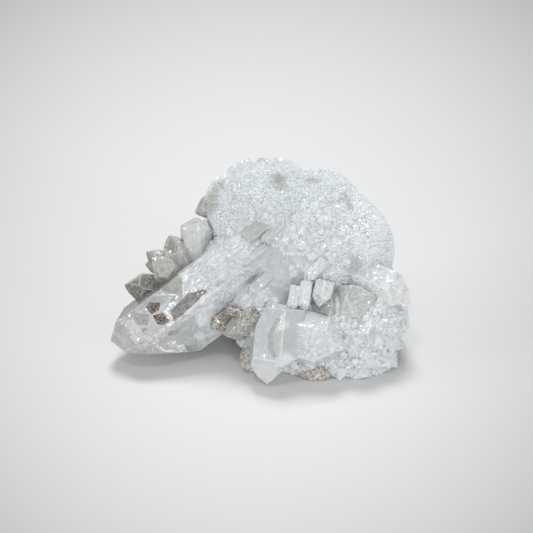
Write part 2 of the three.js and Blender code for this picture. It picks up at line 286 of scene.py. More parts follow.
@dataclass(frozen=True)
class Crystal:
    """A quartz crystal: six sides and six pyramid faces, of which every other one is set back.

    Attributes:
        tip: Its free end.
        way: The way that the tip points.
        half: Half its width.
        length: Its length, with the hidden end.
        turn: Its turn about the long axis, in degrees.
        sides: Where the six sides stand, as shares of the half width.
        across: The way of the first side before the turn.
        cuts: Breaks at the tip, each by the way that it faces and how far below the tip it is.
        caps: How far each pyramid face stands out past the tip, as shares of the half width.
    """

    tip: Triple
    way: Triple
    half: float
    length: float
    turn: float = 0.0
    sides: tuple[float, ...] = EVEN
    across: Triple = UP
    cuts: tuple[tuple[Triple, float], ...] = ()
    caps: tuple[float, ...] = ALTERNATE

    TONE_STRAY = 0.25  # how far the tone of a face is from the mean
    ROUNDING = 1e-6  # how far outside a face a place on it may come by rounding
    ON_EDGE = 1e-5  # how near to two planes the ends of their edge are
    SHARPEST = 0.02  # an edge between two faces that are this near to parallel stays as it is

    @property
    def axes(self) -> np.ndarray:
        """The long axis and two ways across it, one a row."""
        return axes_from(self.way, self.across)

    def outward(self, side: float) -> np.ndarray:
        """The way that a side faces; half a number on, the way of the corner after it."""
        _, first, second = self.axes
        angle = math.radians(self.turn + SIDE_TURN * side)
        return math.cos(angle) * first + math.sin(angle) * second

    def planes(self, inset: float = 0.0) -> tuple[np.ndarray, np.ndarray]:
        """The planes of the faces.

        Args:
            inset: How far every plane is moved inwards.

        Returns:
            The ways that the planes face, one a row, and how far along its way each stands.
        """
        axis = self.axes[0]
        point = np.array(self.tip)
        normals, reaches = [-axis], [self.length - axis @ point]
        for side in range(SIDES):
            outward = self.outward(side)
            slope = math.sin(FACE_TILT) * outward + math.cos(FACE_TILT) * axis
            normals += [outward, slope]
            reaches += [outward @ point + self.half * self.sides[side],
                        slope @ point + self.caps[side] * self.half]
        for facing, deep in self.cuts:
            normals.append(unit(facing))
            reaches.append(unit(facing) @ point - deep)
        return np.array(normals), np.array(reaches) - inset

    def scatter(
        self, random: np.random.Generator, spacing: float, start: float, end: float
    ) -> tuple[np.ndarray, np.ndarray]:
        """Random places on the six sides.

        Args:
            random: Picks them.
            spacing: About how far apart they are.
            start: How far from the tip they begin.
            end: How far from the tip they end.

        Returns:
            The places and the ways that the sides face there.
        """
        axis = self.axes[0]
        reach = 2 * self.half
        places, facings = [], []
        for side in range(SIDES):
            outward = self.outward(side)
            count = int((end - start) * 2 * reach / spacing ** 2)
            along = random.uniform(start, end, (count, 1))
            aside = random.uniform(-reach, reach, (count, 1))
            points = (np.array(self.tip) - along * axis + aside * np.cross(axis, outward)
                      + outward * self.half * self.sides[side])
            points = points[self.depth(points) > -self.ROUNDING]
            places.append(points)
            facings.append(np.tile(outward, (len(points), 1)))
        return np.concatenate(places), np.concatenate(facings)

    def depth(self, points: np.ndarray) -> np.ndarray:
        """How deep each place lies under the nearest face; below 0 it is outside."""
        normals, reaches = self.planes()
        return (reaches - points @ normals.T).min(1)

    def skin(self, bevel: float, inset: float) -> Skin:
        """The crystal as a closed mesh of flat faces. The small faces along the edges get the lightest tone,
        as painted highlights.

        Args:
            bevel: How deep a small face cuts off each edge.
            inset: How far the faces are moved inwards.

        Returns:
            The mesh.
        """
        normals, reaches = self.planes(inset)
        wide = len(normals)
        normals, reaches = self.with_edge_faces(normals, reaches, bevel)
        corners, faces = convex_body(normals, reaches)
        random = np.random.default_rng(int(abs(sum(self.tip)) * 1000))  # the tip picks the tones
        tones = np.clip(MEAN_TONE + random.uniform(-self.TONE_STRAY, self.TONE_STRAY, len(faces)), 0, 1)
        # the faces that cut off the edges get the lightest tone, which the finishes paint as highlights
        tones[[i for i, face in enumerate(faces) if face.plane >= wide]] = 1.0
        return Skin(corners, np.concatenate([face.ring for face in faces]),
                    np.array([len(face.ring) for face in faces]), tones)

    def with_edge_faces(
        self, normals: np.ndarray, reaches: np.ndarray, bevel: float
    ) -> tuple[np.ndarray, np.ndarray]:
        """Adds a plane to cut off each edge: it faces half way between the two faces that meet there.

        Args:
            normals: The ways that the planes face.
            reaches: How far each stands along its way.
            bevel: How deep an edge is cut off.

        Returns:
            The planes with the new ones after them.
        """
        corners, _ = convex_body(normals, reaches)
        on = np.abs(corners @ normals.T - reaches) < self.ON_EDGE
        more_normals, more_reaches = [normals], [reaches]
        for i, j in itertools.combinations(range(len(normals)), 2):
            shared = corners[on[:, i] & on[:, j]]
            if len(shared) >= 2 and normals[i] @ normals[j] < 1 - self.SHARPEST:
                between = unit(normals[i] + normals[j])
                more_normals.append(between[None])
                more_reaches.append(np.array([between @ shared[0] - bevel]))
        return np.concatenate(more_normals), np.concatenate(more_reaches)


@dataclass(frozen=True)
class Plate:
    """A thin flat thing in one side of a crystal, which stands out of the side by a hair.

    Attributes:
        side: The number of the side.
        corners: Its corners, each by how far behind the tip and how far across the side it is.
    """

    side: int
    corners: tuple[tuple[float, float], ...]

    def skin(self, crystal: Crystal) -> Skin:
        """The plate as a closed mesh, from its outline and the crystal that it is in.

        Args:
            crystal: The crystal.

        Returns:
            The mesh.
        """
        axis, outward = crystal.axes[0], crystal.outward(self.side)
        behind, aside = np.array(self.corners).T[..., None]
        level = crystal.half * crystal.sides[self.side] + FILM_PROUD
        above = np.array(crystal.tip) - behind * axis + aside * np.cross(axis, outward) + level * outward
        return film(above, outward)


def film(above: np.ndarray, outward: np.ndarray) -> Skin:
    """A thin flat body: an outline above, the same below, and the rim between.

    Args:
        above: The corners of the outline, one a row.
        outward: The way that it faces.

    Returns:
        The mesh.
    """
    count = len(above)
    steps = np.arange(count)
    spokes = above - above.mean(0)
    if np.cross(spokes, np.roll(spokes, -1, axis=0)).sum(0) @ outward < 0:
        above = above[::-1]
    after = (steps + 1) % count
    rim = np.stack((after, steps, steps + count, after + count), 1).ravel()
    return Skin(np.concatenate((above, above - FILM_THICK * outward)),
                np.concatenate((steps, steps[::-1] + count, rim)),
                np.array([count, count] + [4] * count), np.full(count + 2, MEAN_TONE))


@dataclass(frozen=True)
class Face:
    """A flat face: the number of its plane, and the numbers of its corners in order."""

    plane: int
    ring: np.ndarray


def convex_body(normals: np.ndarray, reaches: np.ndarray) -> tuple[np.ndarray, list[Face]]:
    """The convex body behind all planes. A corner is where three planes meet and none cuts it off,
    and a face is the corners on one plane, in order of their angle about its middle.

    Args:
        normals: The ways that the planes face.
        reaches: How far each stands along its way.

    Returns:
        The corners, and the faces.
    """
    least_volume = 1e-4  # planes whose ways span less than this meet in no sure corner
    past_plane = 1e-6  # how far past a plane a corner may come by rounding
    on_plane = 5e-5  # how near to a plane its corners are
    decimals = 5  # corners that agree to so many places are one
    triples = np.array(list(itertools.combinations(range(len(normals)), 3)))
    systems = normals[triples]
    sound = np.abs(np.linalg.det(systems)) > least_volume
    points = np.linalg.solve(systems[sound], reaches[triples[sound]][..., None])[..., 0]
    points = points[(points @ normals.T <= reaches + past_plane).all(1)]
    corners = np.unique(np.round(points, decimals), axis=0)
    faces = []
    for plane, (normal, reach) in enumerate(zip(normals, reaches)):
        on = np.flatnonzero(np.abs(corners @ normal - reach) < on_plane)
        if len(on) >= 3:
            axes = axes_from(normal, (0.31, 0.52, 0.8))  # any way that no face lies along
            offset = corners[on] - corners[on].mean(0)
            faces.append(Face(plane, on[np.argsort(np.arctan2(offset @ axes[2], offset @ axes[1]))]))
    return corners, faces


class Habit(Enum):
    """The form of a grain of druse."""

    PYRAMIDS = "two pyramids, base to base"
    # the bright strips are painted highlights: they hold the lightest tone
    PRISM = "upright sides under a pyramid, with bright strips along the edges"


@dataclass
class Grains:
    """Many small crystals as one mesh. Each is a six-sided profile carried along its long axis.

    Attributes:
        places: The middle of each at the skin.
        ways: The long axis of each, of length 1.
        half: Half the width of each.
        rise: How far the tip of each stands above its place.
        root: How far each reaches below its place.
        tone: The tone of each.
        seed: Picks the turns and the crooked tips.
        shoulder: Where the pyramid begins, as a share of the rise; None gives a double pyramid.
        edge: How wide the strip along each long edge is, as a share of a side, which holds the lightest tone
            as a painted highlight; 0 for none.
        across: What one corner of every profile lies as near to as it can; None turns each at random.
    """

    places: np.ndarray
    ways: np.ndarray
    half: np.ndarray
    rise: np.ndarray
    root: np.ndarray
    tone: np.ndarray
    seed: int
    shoulder: np.ndarray | None = None
    edge: float = 0.0
    across: np.ndarray | None = None

    TONE_STRAY = 0.2  # how far the tone of a face is from the grain's own
    CROOKED = 0.22  # how far a tip stands off its long axis, as a share of the half width
    UNEVEN = (0.82, 1.12)  # the reach of the corners, as shares of the half width
    LOWER_RING = 0.8  # how far down the root the lower ring is, as a share

    def profile(self, random: np.random.Generator) -> tuple[np.ndarray, np.ndarray]:
        """The corners of each profile: a hexagon with uneven corners, cut off if there are bright strips.

        Args:
            random: Picks how far each corner reaches.

        Returns:
            For each grain the two coordinates of its corners, and which sides are bright strips.
        """
        angles = np.arange(SIDES) * math.pi / 3
        hexagon = np.stack((np.cos(angles), np.sin(angles)), 1)
        uneven = random.uniform(*self.UNEVEN, (len(self.places), SIDES, 1))
        corners = hexagon[None] * uneven * self.half[:, None, None]
        if self.edge == 0:
            return corners, np.zeros(SIDES, bool)
        before = corners + self.edge * (np.roll(corners, 1, axis=1) - corners)
        after = corners + self.edge * (np.roll(corners, -1, axis=1) - corners)
        return np.stack((before, after), 2).reshape(-1, 2 * SIDES, 2), np.arange(2 * SIDES) % 2 == 0

    def skin(self) -> Skin:
        """The grains as one mesh of closed bodies.

        Returns:
            The mesh: a tip, a ring at the shoulder, a ring at the root if there is a shoulder, and an end.
        """
        random = np.random.default_rng(self.seed)
        count = len(self.places)
        if self.across is None:
            first, second = frames_along(self.ways, random.uniform(0, math.pi / 3, count))
        else:
            first = unit(self.across - (self.ways @ self.across)[:, None] * self.ways)
            second = np.cross(self.ways, first)
        flat, bright = self.profile(random)
        ring = flat[..., :1] * first[:, None] + flat[..., 1:] * second[:, None]
        off = random.normal(size=(count, 2)) * self.CROOKED * self.half[:, None]
        tip = self.places + self.ways * self.rise[:, None] + off[:, :1] * first + off[:, 1:] * second
        end = self.places - self.ways * self.root[:, None]
        if self.shoulder is None:
            levels = [self.places[:, None] + ring]
        else:
            high = self.ways * (self.shoulder * self.rise)[:, None]
            low = self.ways * (self.LOWER_RING * self.root)[:, None]
            levels = [self.places[:, None] + high[:, None] + ring, self.places[:, None] - low[:, None] + ring]
        corners = np.concatenate([tip[:, None], *levels, end[:, None]], 1)
        pattern, sizes, strips = self.pattern(bright, len(levels))
        loops = (np.arange(count)[:, None] * corners.shape[1] + pattern).ravel()
        tone = self.tone[:, None] + random.uniform(-self.TONE_STRAY, self.TONE_STRAY, (count, len(sizes)))
        # the strips along the edges hold the lightest tone: painted highlights
        tone[:, strips] = 1.0
        return Skin(corners.reshape(-1, 3), loops, np.tile(sizes, count), np.clip(tone, 0, 1).ravel())

    @staticmethod
    def pattern(bright: np.ndarray, levels: int) -> tuple[np.ndarray, np.ndarray, np.ndarray]:
        """The faces of one grain, whose corners are the tip, the rings from the top down, and the end.

        Args:
            bright: Which sides of the profile are bright strips.
            levels: How many rings there are.

        Returns:
            The corner numbers of the faces in a row, how many corners each has, and which are bright.
        """
        sides = len(bright)
        steps = np.arange(sides)
        after = (steps + 1) % sides
        last = 1 + sides * (levels - 1)
        rows = [np.stack((np.zeros(sides, int), 1 + steps, 1 + after), 1).ravel()]
        sizes = [np.full(sides, 3)]
        if levels == 2:
            rows.append(np.stack((1 + steps, last + steps, last + after, 1 + after), 1).ravel())
            sizes.append(np.full(sides, 4))
        rows.append(np.stack((np.full(sides, last + sides), last + after, last + steps), 1).ravel())
        sizes.append(np.full(sides, 3))
        return np.concatenate(rows), np.concatenate(sizes), np.tile(bright, len(sizes))


@dataclass
class FarCrystals:
    """Crystals of middle size over the far side, each standing about square to the skin.

    Attributes:
        swells: All swells.
        carriers: The numbers of the swells that make the far side.
        count: How many crystals there are.
        halves: The smallest and the largest half width.
        stands: How far the smallest and the largest stand out of the skin.
        apart: The least distance between two of them.
        lean: How far one leans from square to the skin.
        rises: The lowest and highest place on a swell, in radians above its middle.
        facing: How squarely the skin there has to face the far side, at most 1.
        lowest: The least height above the base.
        safe_depth: A place any deeper in another swell counts as buried.
        state: Picks the places and sizes.
    """

    swells: Sequence[Swell]
    carriers: tuple[int, ...] = (0, 2, 10)
    count: int = 18
    halves: tuple[float, float] = (2.4, 4.6)
    stands: tuple[float, float] = (1.5, 3.0)
    apart: float = 8.5
    lean: float = 0.45
    rises: tuple[float, float] = (-0.45, 1.05)
    facing: float = 0.5
    lowest: float = 5.0
    safe_depth: float = 0.5
    state: int = 11

    STRIDE = 0x6D2B79F5  # how far the state moves on for each number
    MASK = 0xFFFFFFFF  # the 32 bits that the state has

    def number(self) -> float:
        """The next of a repeatable row of numbers from 0 to 1: products and shifts stir the state."""
        self.state = (self.state + self.STRIDE) & self.MASK
        mixed = (self.state ^ (self.state >> 15)) * (self.state | 1) & self.MASK
        mixed ^= (mixed + ((mixed ^ (mixed >> 7)) * (mixed | 61) & self.MASK)) & self.MASK
        return (mixed ^ (mixed >> 14)) / (self.MASK + 1)

    @staticmethod
    def between(ends: tuple[float, float], share: float) -> float:
        """The number that is a share of the way from the first to the second."""
        return ends[0] + (ends[1] - ends[0]) * share

    def is_buried(self, place: np.ndarray, left_out: int) -> bool:
        """Whether a place lies deep in any swell but the one that is left out."""
        for i, swell in enumerate(self.swells):
            safe_half = np.array(swell.half) - self.safe_depth
            share = ((place - np.array(swell.centre)) @ swell.axes.T) / safe_half
            if i != left_out and np.linalg.norm(share) < 1:
                return True
        return False

    def found(self) -> tuple[Crystal, ...]:
        """Picks places until enough are free.

        Returns:
            The crystals.
        """
        crystals: list[Crystal] = []
        while len(crystals) < self.count:
            which = self.carriers[int(self.number() * len(self.carriers))]
            centre, swell_half = np.array(self.swells[which].centre), np.array(self.swells[which].half)
            heading = self.number() * math.pi
            rise = self.between(self.rises, self.number())
            level = math.cos(rise)
            ball = np.array((math.cos(heading) * level, math.sin(heading) * level, math.sin(rise)))
            place = centre + ball * swell_half
            normal = unit(ball / swell_half)
            share = self.number()
            half = self.between(self.halves, share)
            way = normal + 2 * self.lean * (np.array([self.number() for _ in range(3)]) - 0.5)
            turn = SIDE_TURN * self.number()
            is_far = normal[1] > self.facing and place[2] > self.lowest
            is_clear = all(np.linalg.norm(place - np.array(other.tip)) > self.apart for other in crystals)
            if is_far and is_clear and not self.is_buried(place, which):
                tip = place + normal * self.between(self.stands, share)
                crystals.append(Crystal(tuple(tip), tuple(way), half, 4 * half, turn, BLOCKY))
        return tuple(crystals)


class Operation(Enum):
    """What a Math or a Vector Math node does with its inputs."""

    ADD = "ADD"
    SUBTRACT = "SUBTRACT"
    MULTIPLY = "MULTIPLY"
    DIVIDE = "DIVIDE"
    MAXIMUM = "MAXIMUM"
    SCALE = "SCALE"
    NORMALIZE = "NORMALIZE"
    DISTANCE = "DISTANCE"
    DOT_PRODUCT = "DOT_PRODUCT"


@dataclass(frozen=True)
class Sum:
    """A socket that takes part in sums: each operator adds the node that works it out.

    Attributes:
        tree: The node tree that it is in.
        socket: The socket.
    """

    tree: bpy.types.NodeTree
    socket: bpy.types.NodeSocket

    def maths(self, operation: Operation, *values: Sum | float, clamp: bool = False) -> Sum:
        """Adds a Math node.

        Args:
            operation: What it does.
            values: What its inputs hold.
            clamp: Whether the result is kept from 0 to 1.

        Returns:
            Its result.
        """
        node = self.tree.nodes.new("ShaderNodeMath")
        node.operation = operation.value
        node.use_clamp = clamp
        for socket, value in zip(node.inputs, values):
            if isinstance(value, Sum):
                self.tree.links.new(value.socket, socket)
            else:
                socket.default_value = value
        return Sum(self.tree, node.outputs[0])

    def __add__(self, other: Sum | float) -> Sum:
        """The sum of the two."""
        return self.maths(Operation.ADD, self, other)

    __radd__ = __add__

    def __sub__(self, other: Sum | float) -> Sum:
        """This less the other."""
        return self.maths(Operation.SUBTRACT, self, other)

    def __rsub__(self, other: float) -> Sum:
        """The other less this."""
        return self.maths(Operation.SUBTRACT, other, self)

    def __mul__(self, other: Sum | float) -> Sum:
        """The product of the two."""
        return self.maths(Operation.MULTIPLY, self, other)

    __rmul__ = __mul__

    def __truediv__(self, other: Sum | float) -> Sum:
        """This over the other."""
        return self.maths(Operation.DIVIDE, self, other)

    def most(self, other: Sum) -> Sum:
        """The greater of the two."""
        return self.maths(Operation.MAXIMUM, self, other)

    def kept(self) -> Sum:
        """This, kept from 0 to 1."""
        return self.maths(Operation.ADD, self, 0.0, clamp=True)

    def ramp(self, low: float, high: float) -> Sum:
        """0 below low and 1 above high, with a smooth rise between.

        Args:
            low: Where the rise begins.
            high: Where it ends.

        Returns:
            The result.
        """
        node = self.tree.nodes.new("ShaderNodeMapRange")
        node.interpolation_type = "SMOOTHSTEP"
        self.tree.links.new(self.socket, node.inputs["Value"])
        node.inputs["From Min"].default_value = low
        node.inputs["From Max"].default_value = high
        return Sum(self.tree, node.outputs["Result"])


class Recipe:
    """A material being made: adds nodes and links them."""

    MIX_SHARE, MIX_LOW, MIX_HIGH, MIXED = 0, 6, 7, 2  # the sockets of a Mix node that are for colours

    def __init__(self, name: str):
        """Starts a material with a Principled shader and an output."""
        self.material = bpy.data.materials.new(name)
        self.material.use_nodes = True
        self.tree = self.material.node_tree
        self.tree.nodes.clear()
        self.output = self.tree.nodes.new("ShaderNodeOutputMaterial")
        self.shader = self.tree.nodes.new("ShaderNodeBsdfPrincipled")
        self.surface = self.shader.outputs[0]
        self.tree.links.new(self.surface, self.output.inputs["Surface"])
        self.coordinates = self.result(self.add("ShaderNodeTexCoord"), "Object")

    def add(self, kind: str, settings: dict[str, Any] | None = None, **inputs: Any) -> bpy.types.Node:
        """Adds a node.

        Args:
            kind: Its type.
            settings: Its own settings, which are set first.
            inputs: Values or links of its sockets, with _ for a blank in a name.

        Returns:
            The node.
        """
        node = self.tree.nodes.new(kind)
        for key, value in (settings or {}).items():
            setattr(node, key, value)
        for key, value in inputs.items():
            self.put(node.inputs[key.replace("_", " ")], value)
        return node

    def put(self, socket: bpy.types.NodeSocket, value: Any) -> None:
        """Sets a socket to a value, or links it to another socket."""
        if isinstance(value, Sum):
            self.tree.links.new(value.socket, socket)
        else:
            socket.default_value = value

    def result(self, node: bpy.types.Node, output: int | str = 0) -> Sum:
        """An output of a node, ready to take part in sums."""
        return Sum(self.tree, node.outputs[output])

    def lying(self, way: Triple, longer: float) -> Sum:
        """Object coordinates in which a pattern is some times longer along one way than across it."""
        turn = Vector((1.0, 0.0, 0.0)).rotation_difference(Vector(way)).to_euler()
        return self.result(self.add("ShaderNodeMapping", {"vector_type": "TEXTURE"}, Vector=self.coordinates,
                                    Rotation=turn, Scale=(longer, 1.0, 1.0)))

    def noise(self, size: float, detail: float = 3.0, roughness: float = 0.5, way: Triple = (1.0, 0.0, 0.0),
              longer: float = 1.0) -> Sum:
        """Noise with blots of about a size in millimetres, some times longer along one way."""
        return self.result(self.add("ShaderNodeTexNoise", Vector=self.lying(way, longer),
                                    Scale=1 / (size * MM), Detail=detail, Roughness=roughness))

    def cells(self, size: float, way: Triple = UP, longer: float = 1.0) -> Sum:
        """A random vector for each flat-sided cell; the cells have a width in millimetres and lie one way."""
        return self.result(self.add("ShaderNodeTexVoronoi", Vector=self.lying(way, longer),
                                    Scale=1 / (size * MM)), "Color")

    def borders(self, size: float, way: Triple, longer: float) -> Sum:
        """How far a place is from the border of its cell, in cell widths, for the same cells."""
        return self.result(self.add("ShaderNodeTexVoronoi", {"feature": "DISTANCE_TO_EDGE"},
                                    Vector=self.lying(way, longer), Scale=1 / (size * MM)), "Distance")

    def vector(self, operation: Operation, first: Any, second: Any = None, output: str = "Vector",
               **inputs: Any) -> Sum:
        """Adds a Vector Math node.

        Args:
            operation: What it does.
            first: What its first input holds.
            second: What its second input holds, if it has one.
            output: Which of its results is used.
            inputs: Its other inputs by name.

        Returns:
            The result.
        """
        node = self.add("ShaderNodeVectorMath", {"operation": operation.value}, **inputs)
        self.put(node.inputs[0], first)
        if second is not None:
            self.put(node.inputs[1], second)
        return self.result(node, output)

    def facets(self, own: Sum, lean: float, under: Sum | None = None) -> Sum:
        """A normal that leans another way in each cell, as facets do.

        Args:
            own: The vector of each cell's own.
            lean: How far a facet leans, as the tangent of the angle.
            under: The normal that it starts from, or none for the mesh's own.

        Returns:
            The normal.
        """
        centred = self.vector(Operation.SUBTRACT, own, (0.5, 0.5, 0.5))
        scaled = self.vector(Operation.SCALE, centred, Scale=2 * lean)
        if under is None:
            under = self.result(self.add("ShaderNodeNewGeometry"), "Normal")
        return self.vector(Operation.NORMALIZE, self.vector(Operation.ADD, scaled, under))

    def along(self, way: Triple) -> Sum:
        """How far a place lies along a way from the origin, in millimetres."""
        return self.vector(Operation.DOT_PRODUCT, self.coordinates, way, "Value") * (1 / MM)

    def near(self, place: Triple, reach: float, fringe: Sum) -> Sum:
        """1 close to a place and 0 away from it: a half at its reach, with an uneven fringe."""
        middle = [MM * part for part in place]
        far = self.vector(Operation.DISTANCE, self.coordinates, middle, "Value") * (1 / MM)
        return 1.0 - (far + fringe).ramp(0.5 * reach, 1.5 * reach)

    def patched(self, colour: Sum, patches: Sequence[Patch]) -> Sum:
        """A colour with patches of other colours.

        Args:
            colour: The colour.
            patches: The patches.

        Returns:
            The new colour.
        """
        fringe = (self.noise(2.0, 4.0, 0.7) - 0.5) * 6 if patches else None
        for patch in patches:
            colour = self.mix(self.near(patch.place, patch.reach, fringe) * patch.share, colour, patch.colour)
        return colour

    def specked(self, colour: Sum, own: Sum, share: float, bright: tuple[float, Triple],
                dark: tuple[float, Triple], fade: float = 0.06) -> Sum:
        """A colour with bright and dark specks in the cells whose own number is high or low."""
        colour = self.mix(own.ramp(bright[0], bright[0] + fade) * share, colour, bright[1])
        return self.mix((1.0 - own.ramp(dark[0], dark[0] + fade)) * share, colour, dark[1])

    def tone(self) -> Sum:
        """The tone that the mesh holds on each face."""
        return self.result(self.add("ShaderNodeAttribute", {"attribute_name": TONE}), "Fac")

    def edges(self) -> Sum:
        """1 on the small faces along the edges, which have the lightest tone, and 0 elsewhere: where painted
        edge highlights go.
        """
        return self.tone().ramp(0.85, 0.95)

    def mix(self, share: Sum | float, low: Sum | Triple, high: Sum | Triple) -> Sum:
        """A colour between two.

        Args:
            share: 0 for the low colour, 1 for the high one.
            low: A colour, or a link to one.
            high: The same.

        Returns:
            The mixed colour.
        """
        node = self.add("ShaderNodeMix", {"data_type": "RGBA"})
        self.put(node.inputs[self.MIX_SHARE], share)
        for place, colour in ((self.MIX_LOW, low), (self.MIX_HIGH, high)):
            self.put(node.inputs[place], colour if isinstance(colour, Sum) else (*colour, 1.0))
        return self.result(node, self.MIXED)

    def bump(self, height: Sum, distance: float, strength: float = 1.0) -> Sum:
        """A normal that leans as a height changes; a height of 1 stands for a distance in millimetres."""
        return self.result(
            self.add("ShaderNodeBump", Strength=strength, Distance=distance * MM, Height=height))

    def set(self, **inputs: Any) -> None:
        """Sets sockets of the Principled shader, with _ for a blank in a name."""
        for key, value in inputs.items():
            self.put(self.shader.inputs[key.replace("_", " ")], value)

    def cover(self, share: Sum, **inputs: Any) -> None:
        """Covers a share of the surface so far with one more Principled shader.

        Args:
            share: 0 where the surface so far shows, 1 where the new shader does.
            inputs: The new shader's sockets.
        """
        upper = self.add("ShaderNodeBsdfPrincipled", **inputs)
        mixed = self.add("ShaderNodeMixShader", Fac=share)
        self.tree.links.new(self.surface, mixed.inputs[1])
        self.tree.links.new(upper.outputs[0], mixed.inputs[2])
        self.surface = mixed.outputs[0]
        self.tree.links.new(self.surface, self.output.inputs["Surface"])

    def absorb(self, colour: Triple, density: float) -> None:
        """Fills the inside with a plain absorption, of a density per metre, which spares one colour."""
        node = self.add("ShaderNodeVolumeAbsorption", Color=(*colour, 1.0), Density=density)
        self.tree.links.new(node.outputs[0], self.output.inputs["Volume"])


@dataclass(frozen=True)
class Patch:
    """A place where a finish has another colour, with an uneven border.

    Attributes:
        place: Its middle.
        reach: How far it reaches.
        colour: Its colour.
        share: How much of the colour shows there.
    """

    place: Triple
    reach: float
    colour: Triple
    share: float = 0.6


@dataclass(frozen=True)
class Druse:
    """The finish of small grains: clear quartz over white, in tones that differ from grain to grain.

    Attributes:
        name: The material's name.
        light: The lightest colour.
        dark: The darkest colour.
        patches: Where it has another colour.
        roughness: How dull the faces are.
        see_through: How much light goes through a grain.
    """

    name: str
    light: Triple
    dark: Triple
    patches: tuple[Patch, ...] = ()
    roughness: float = 0.15
    see_through: float = 0.07

    @cache
    def material(self) -> bpy.types.Material:
        """The material, which is made once."""
        recipe = Recipe(self.name)
        broad = recipe.noise(9.0, 3.0).ramp(0.3, 0.7)
        # tone 1, on the strips along grain edges, gives the lightest colour: painted highlights
        colour = recipe.mix(recipe.tone() * 0.8 + broad * 0.3, self.dark, self.light)
        recipe.set(Base_Color=recipe.patched(colour, self.patches), Roughness=self.roughness,
                   IOR=QUARTZ_IOR, Transmission_Weight=self.see_through)
        return recipe.material


@dataclass(frozen=True)
class Milky:
    """The finish of milky and frosted quartz: clouds, small cells that lie one way, and painted highlights:
    bright cell borders and bright glints.

    Attributes:
        name: The material's name.
        light: The colour of the milkiest parts.
        dark: The colour of the clearer parts.
        painted_glint_colour: The colour of the painted glints.
        painted_glint_strength: How strong the painted glints are.
        way: The way that the cells lie.
        cell: How wide a cell is, in millimetres.
        longer: How many times longer than wide a cell is.
        lean: How far the facet of each cell leans.
        painted_border_light: How bright the borders of the cells are painted, as painted highlights.
        grain: How wide the fine cells on them are, in millimetres.
        glitter: How far the facet of each fine cell leans.
        roughness: How dull the faces are.
        painted_edge_light: How strongly the edges of the crystals are painted white, as painted highlights.
        see_through: How much light goes through.
        patches: Where it has another colour.
    """

    name: str
    light: Triple = (0.76, 0.79, 0.81)
    dark: Triple = (0.56, 0.59, 0.60)
    painted_glint_colour: Triple = (0.92, 0.95, 0.97)
    painted_glint_strength: float = 0.3
    way: Triple = RIDGE_WAY
    cell: float = 1.4
    longer: float = 2.5
    lean: float = 0.12
    painted_border_light: float = 0.4
    grain: float = 0.5
    glitter: float = 0.3
    roughness: float = 0.1
    painted_edge_light: float = 0.15
    see_through: float = 0.15
    patches: tuple[Patch, ...] = ()

    GRAIN_LONGER = 1.8  # how many times longer than wide a fine cell is
    LINE = 0.09  # how wide a bright border is, in cell widths

    def look(self, recipe: Recipe) -> dict[str, Any]:
        """Works out the shader's inputs.

        Args:
            recipe: What the nodes are added to.

        Returns:
            The inputs by name.
        """
        clouds = recipe.noise(6.0, 4.0, 0.55).ramp(0.3, 0.7)
        patchy = recipe.noise(1.8, 3.0, 0.6)
        own = recipe.cells(self.cell, self.way, self.longer)
        fine = recipe.cells(self.grain, self.way, self.GRAIN_LONGER)
        share = clouds * 0.3 + own * 0.3 + fine * 0.3 + recipe.tone() * 0.2
        colour = recipe.patched(recipe.mix(share, self.dark, self.light), self.patches)
        # painted highlights: the borders of the cells and the fine glints are painted bright, in patches
        inside = recipe.borders(self.cell, self.way, self.longer).ramp(0.0, self.LINE)
        painted_lines = (1.0 - inside) * patchy.ramp(0.45, 0.6)
        painted_glint_mask = fine.ramp(0.6, 0.7) * patchy.ramp(0.35, 0.6)
        colour = recipe.mix((painted_lines * self.painted_border_light).most(painted_glint_mask * self.painted_glint_strength), colour, self.painted_glint_colour)
        colour = recipe.mix(recipe.edges() * self.painted_edge_light, colour, PAINTED_EDGE_HIGHLIGHT)
        normal = recipe.facets(fine, self.glitter, recipe.facets(own, self.lean))
        return {"Base_Color": colour, "Roughness": self.roughness, "IOR": QUARTZ_IOR,
                "Transmission_Weight": self.see_through, "Normal": normal}

    @cache
    def material(self) -> bpy.types.Material:
        """The material, which is made once."""
        recipe = Recipe(self.name)
        recipe.set(**self.look(recipe))
        return recipe.material


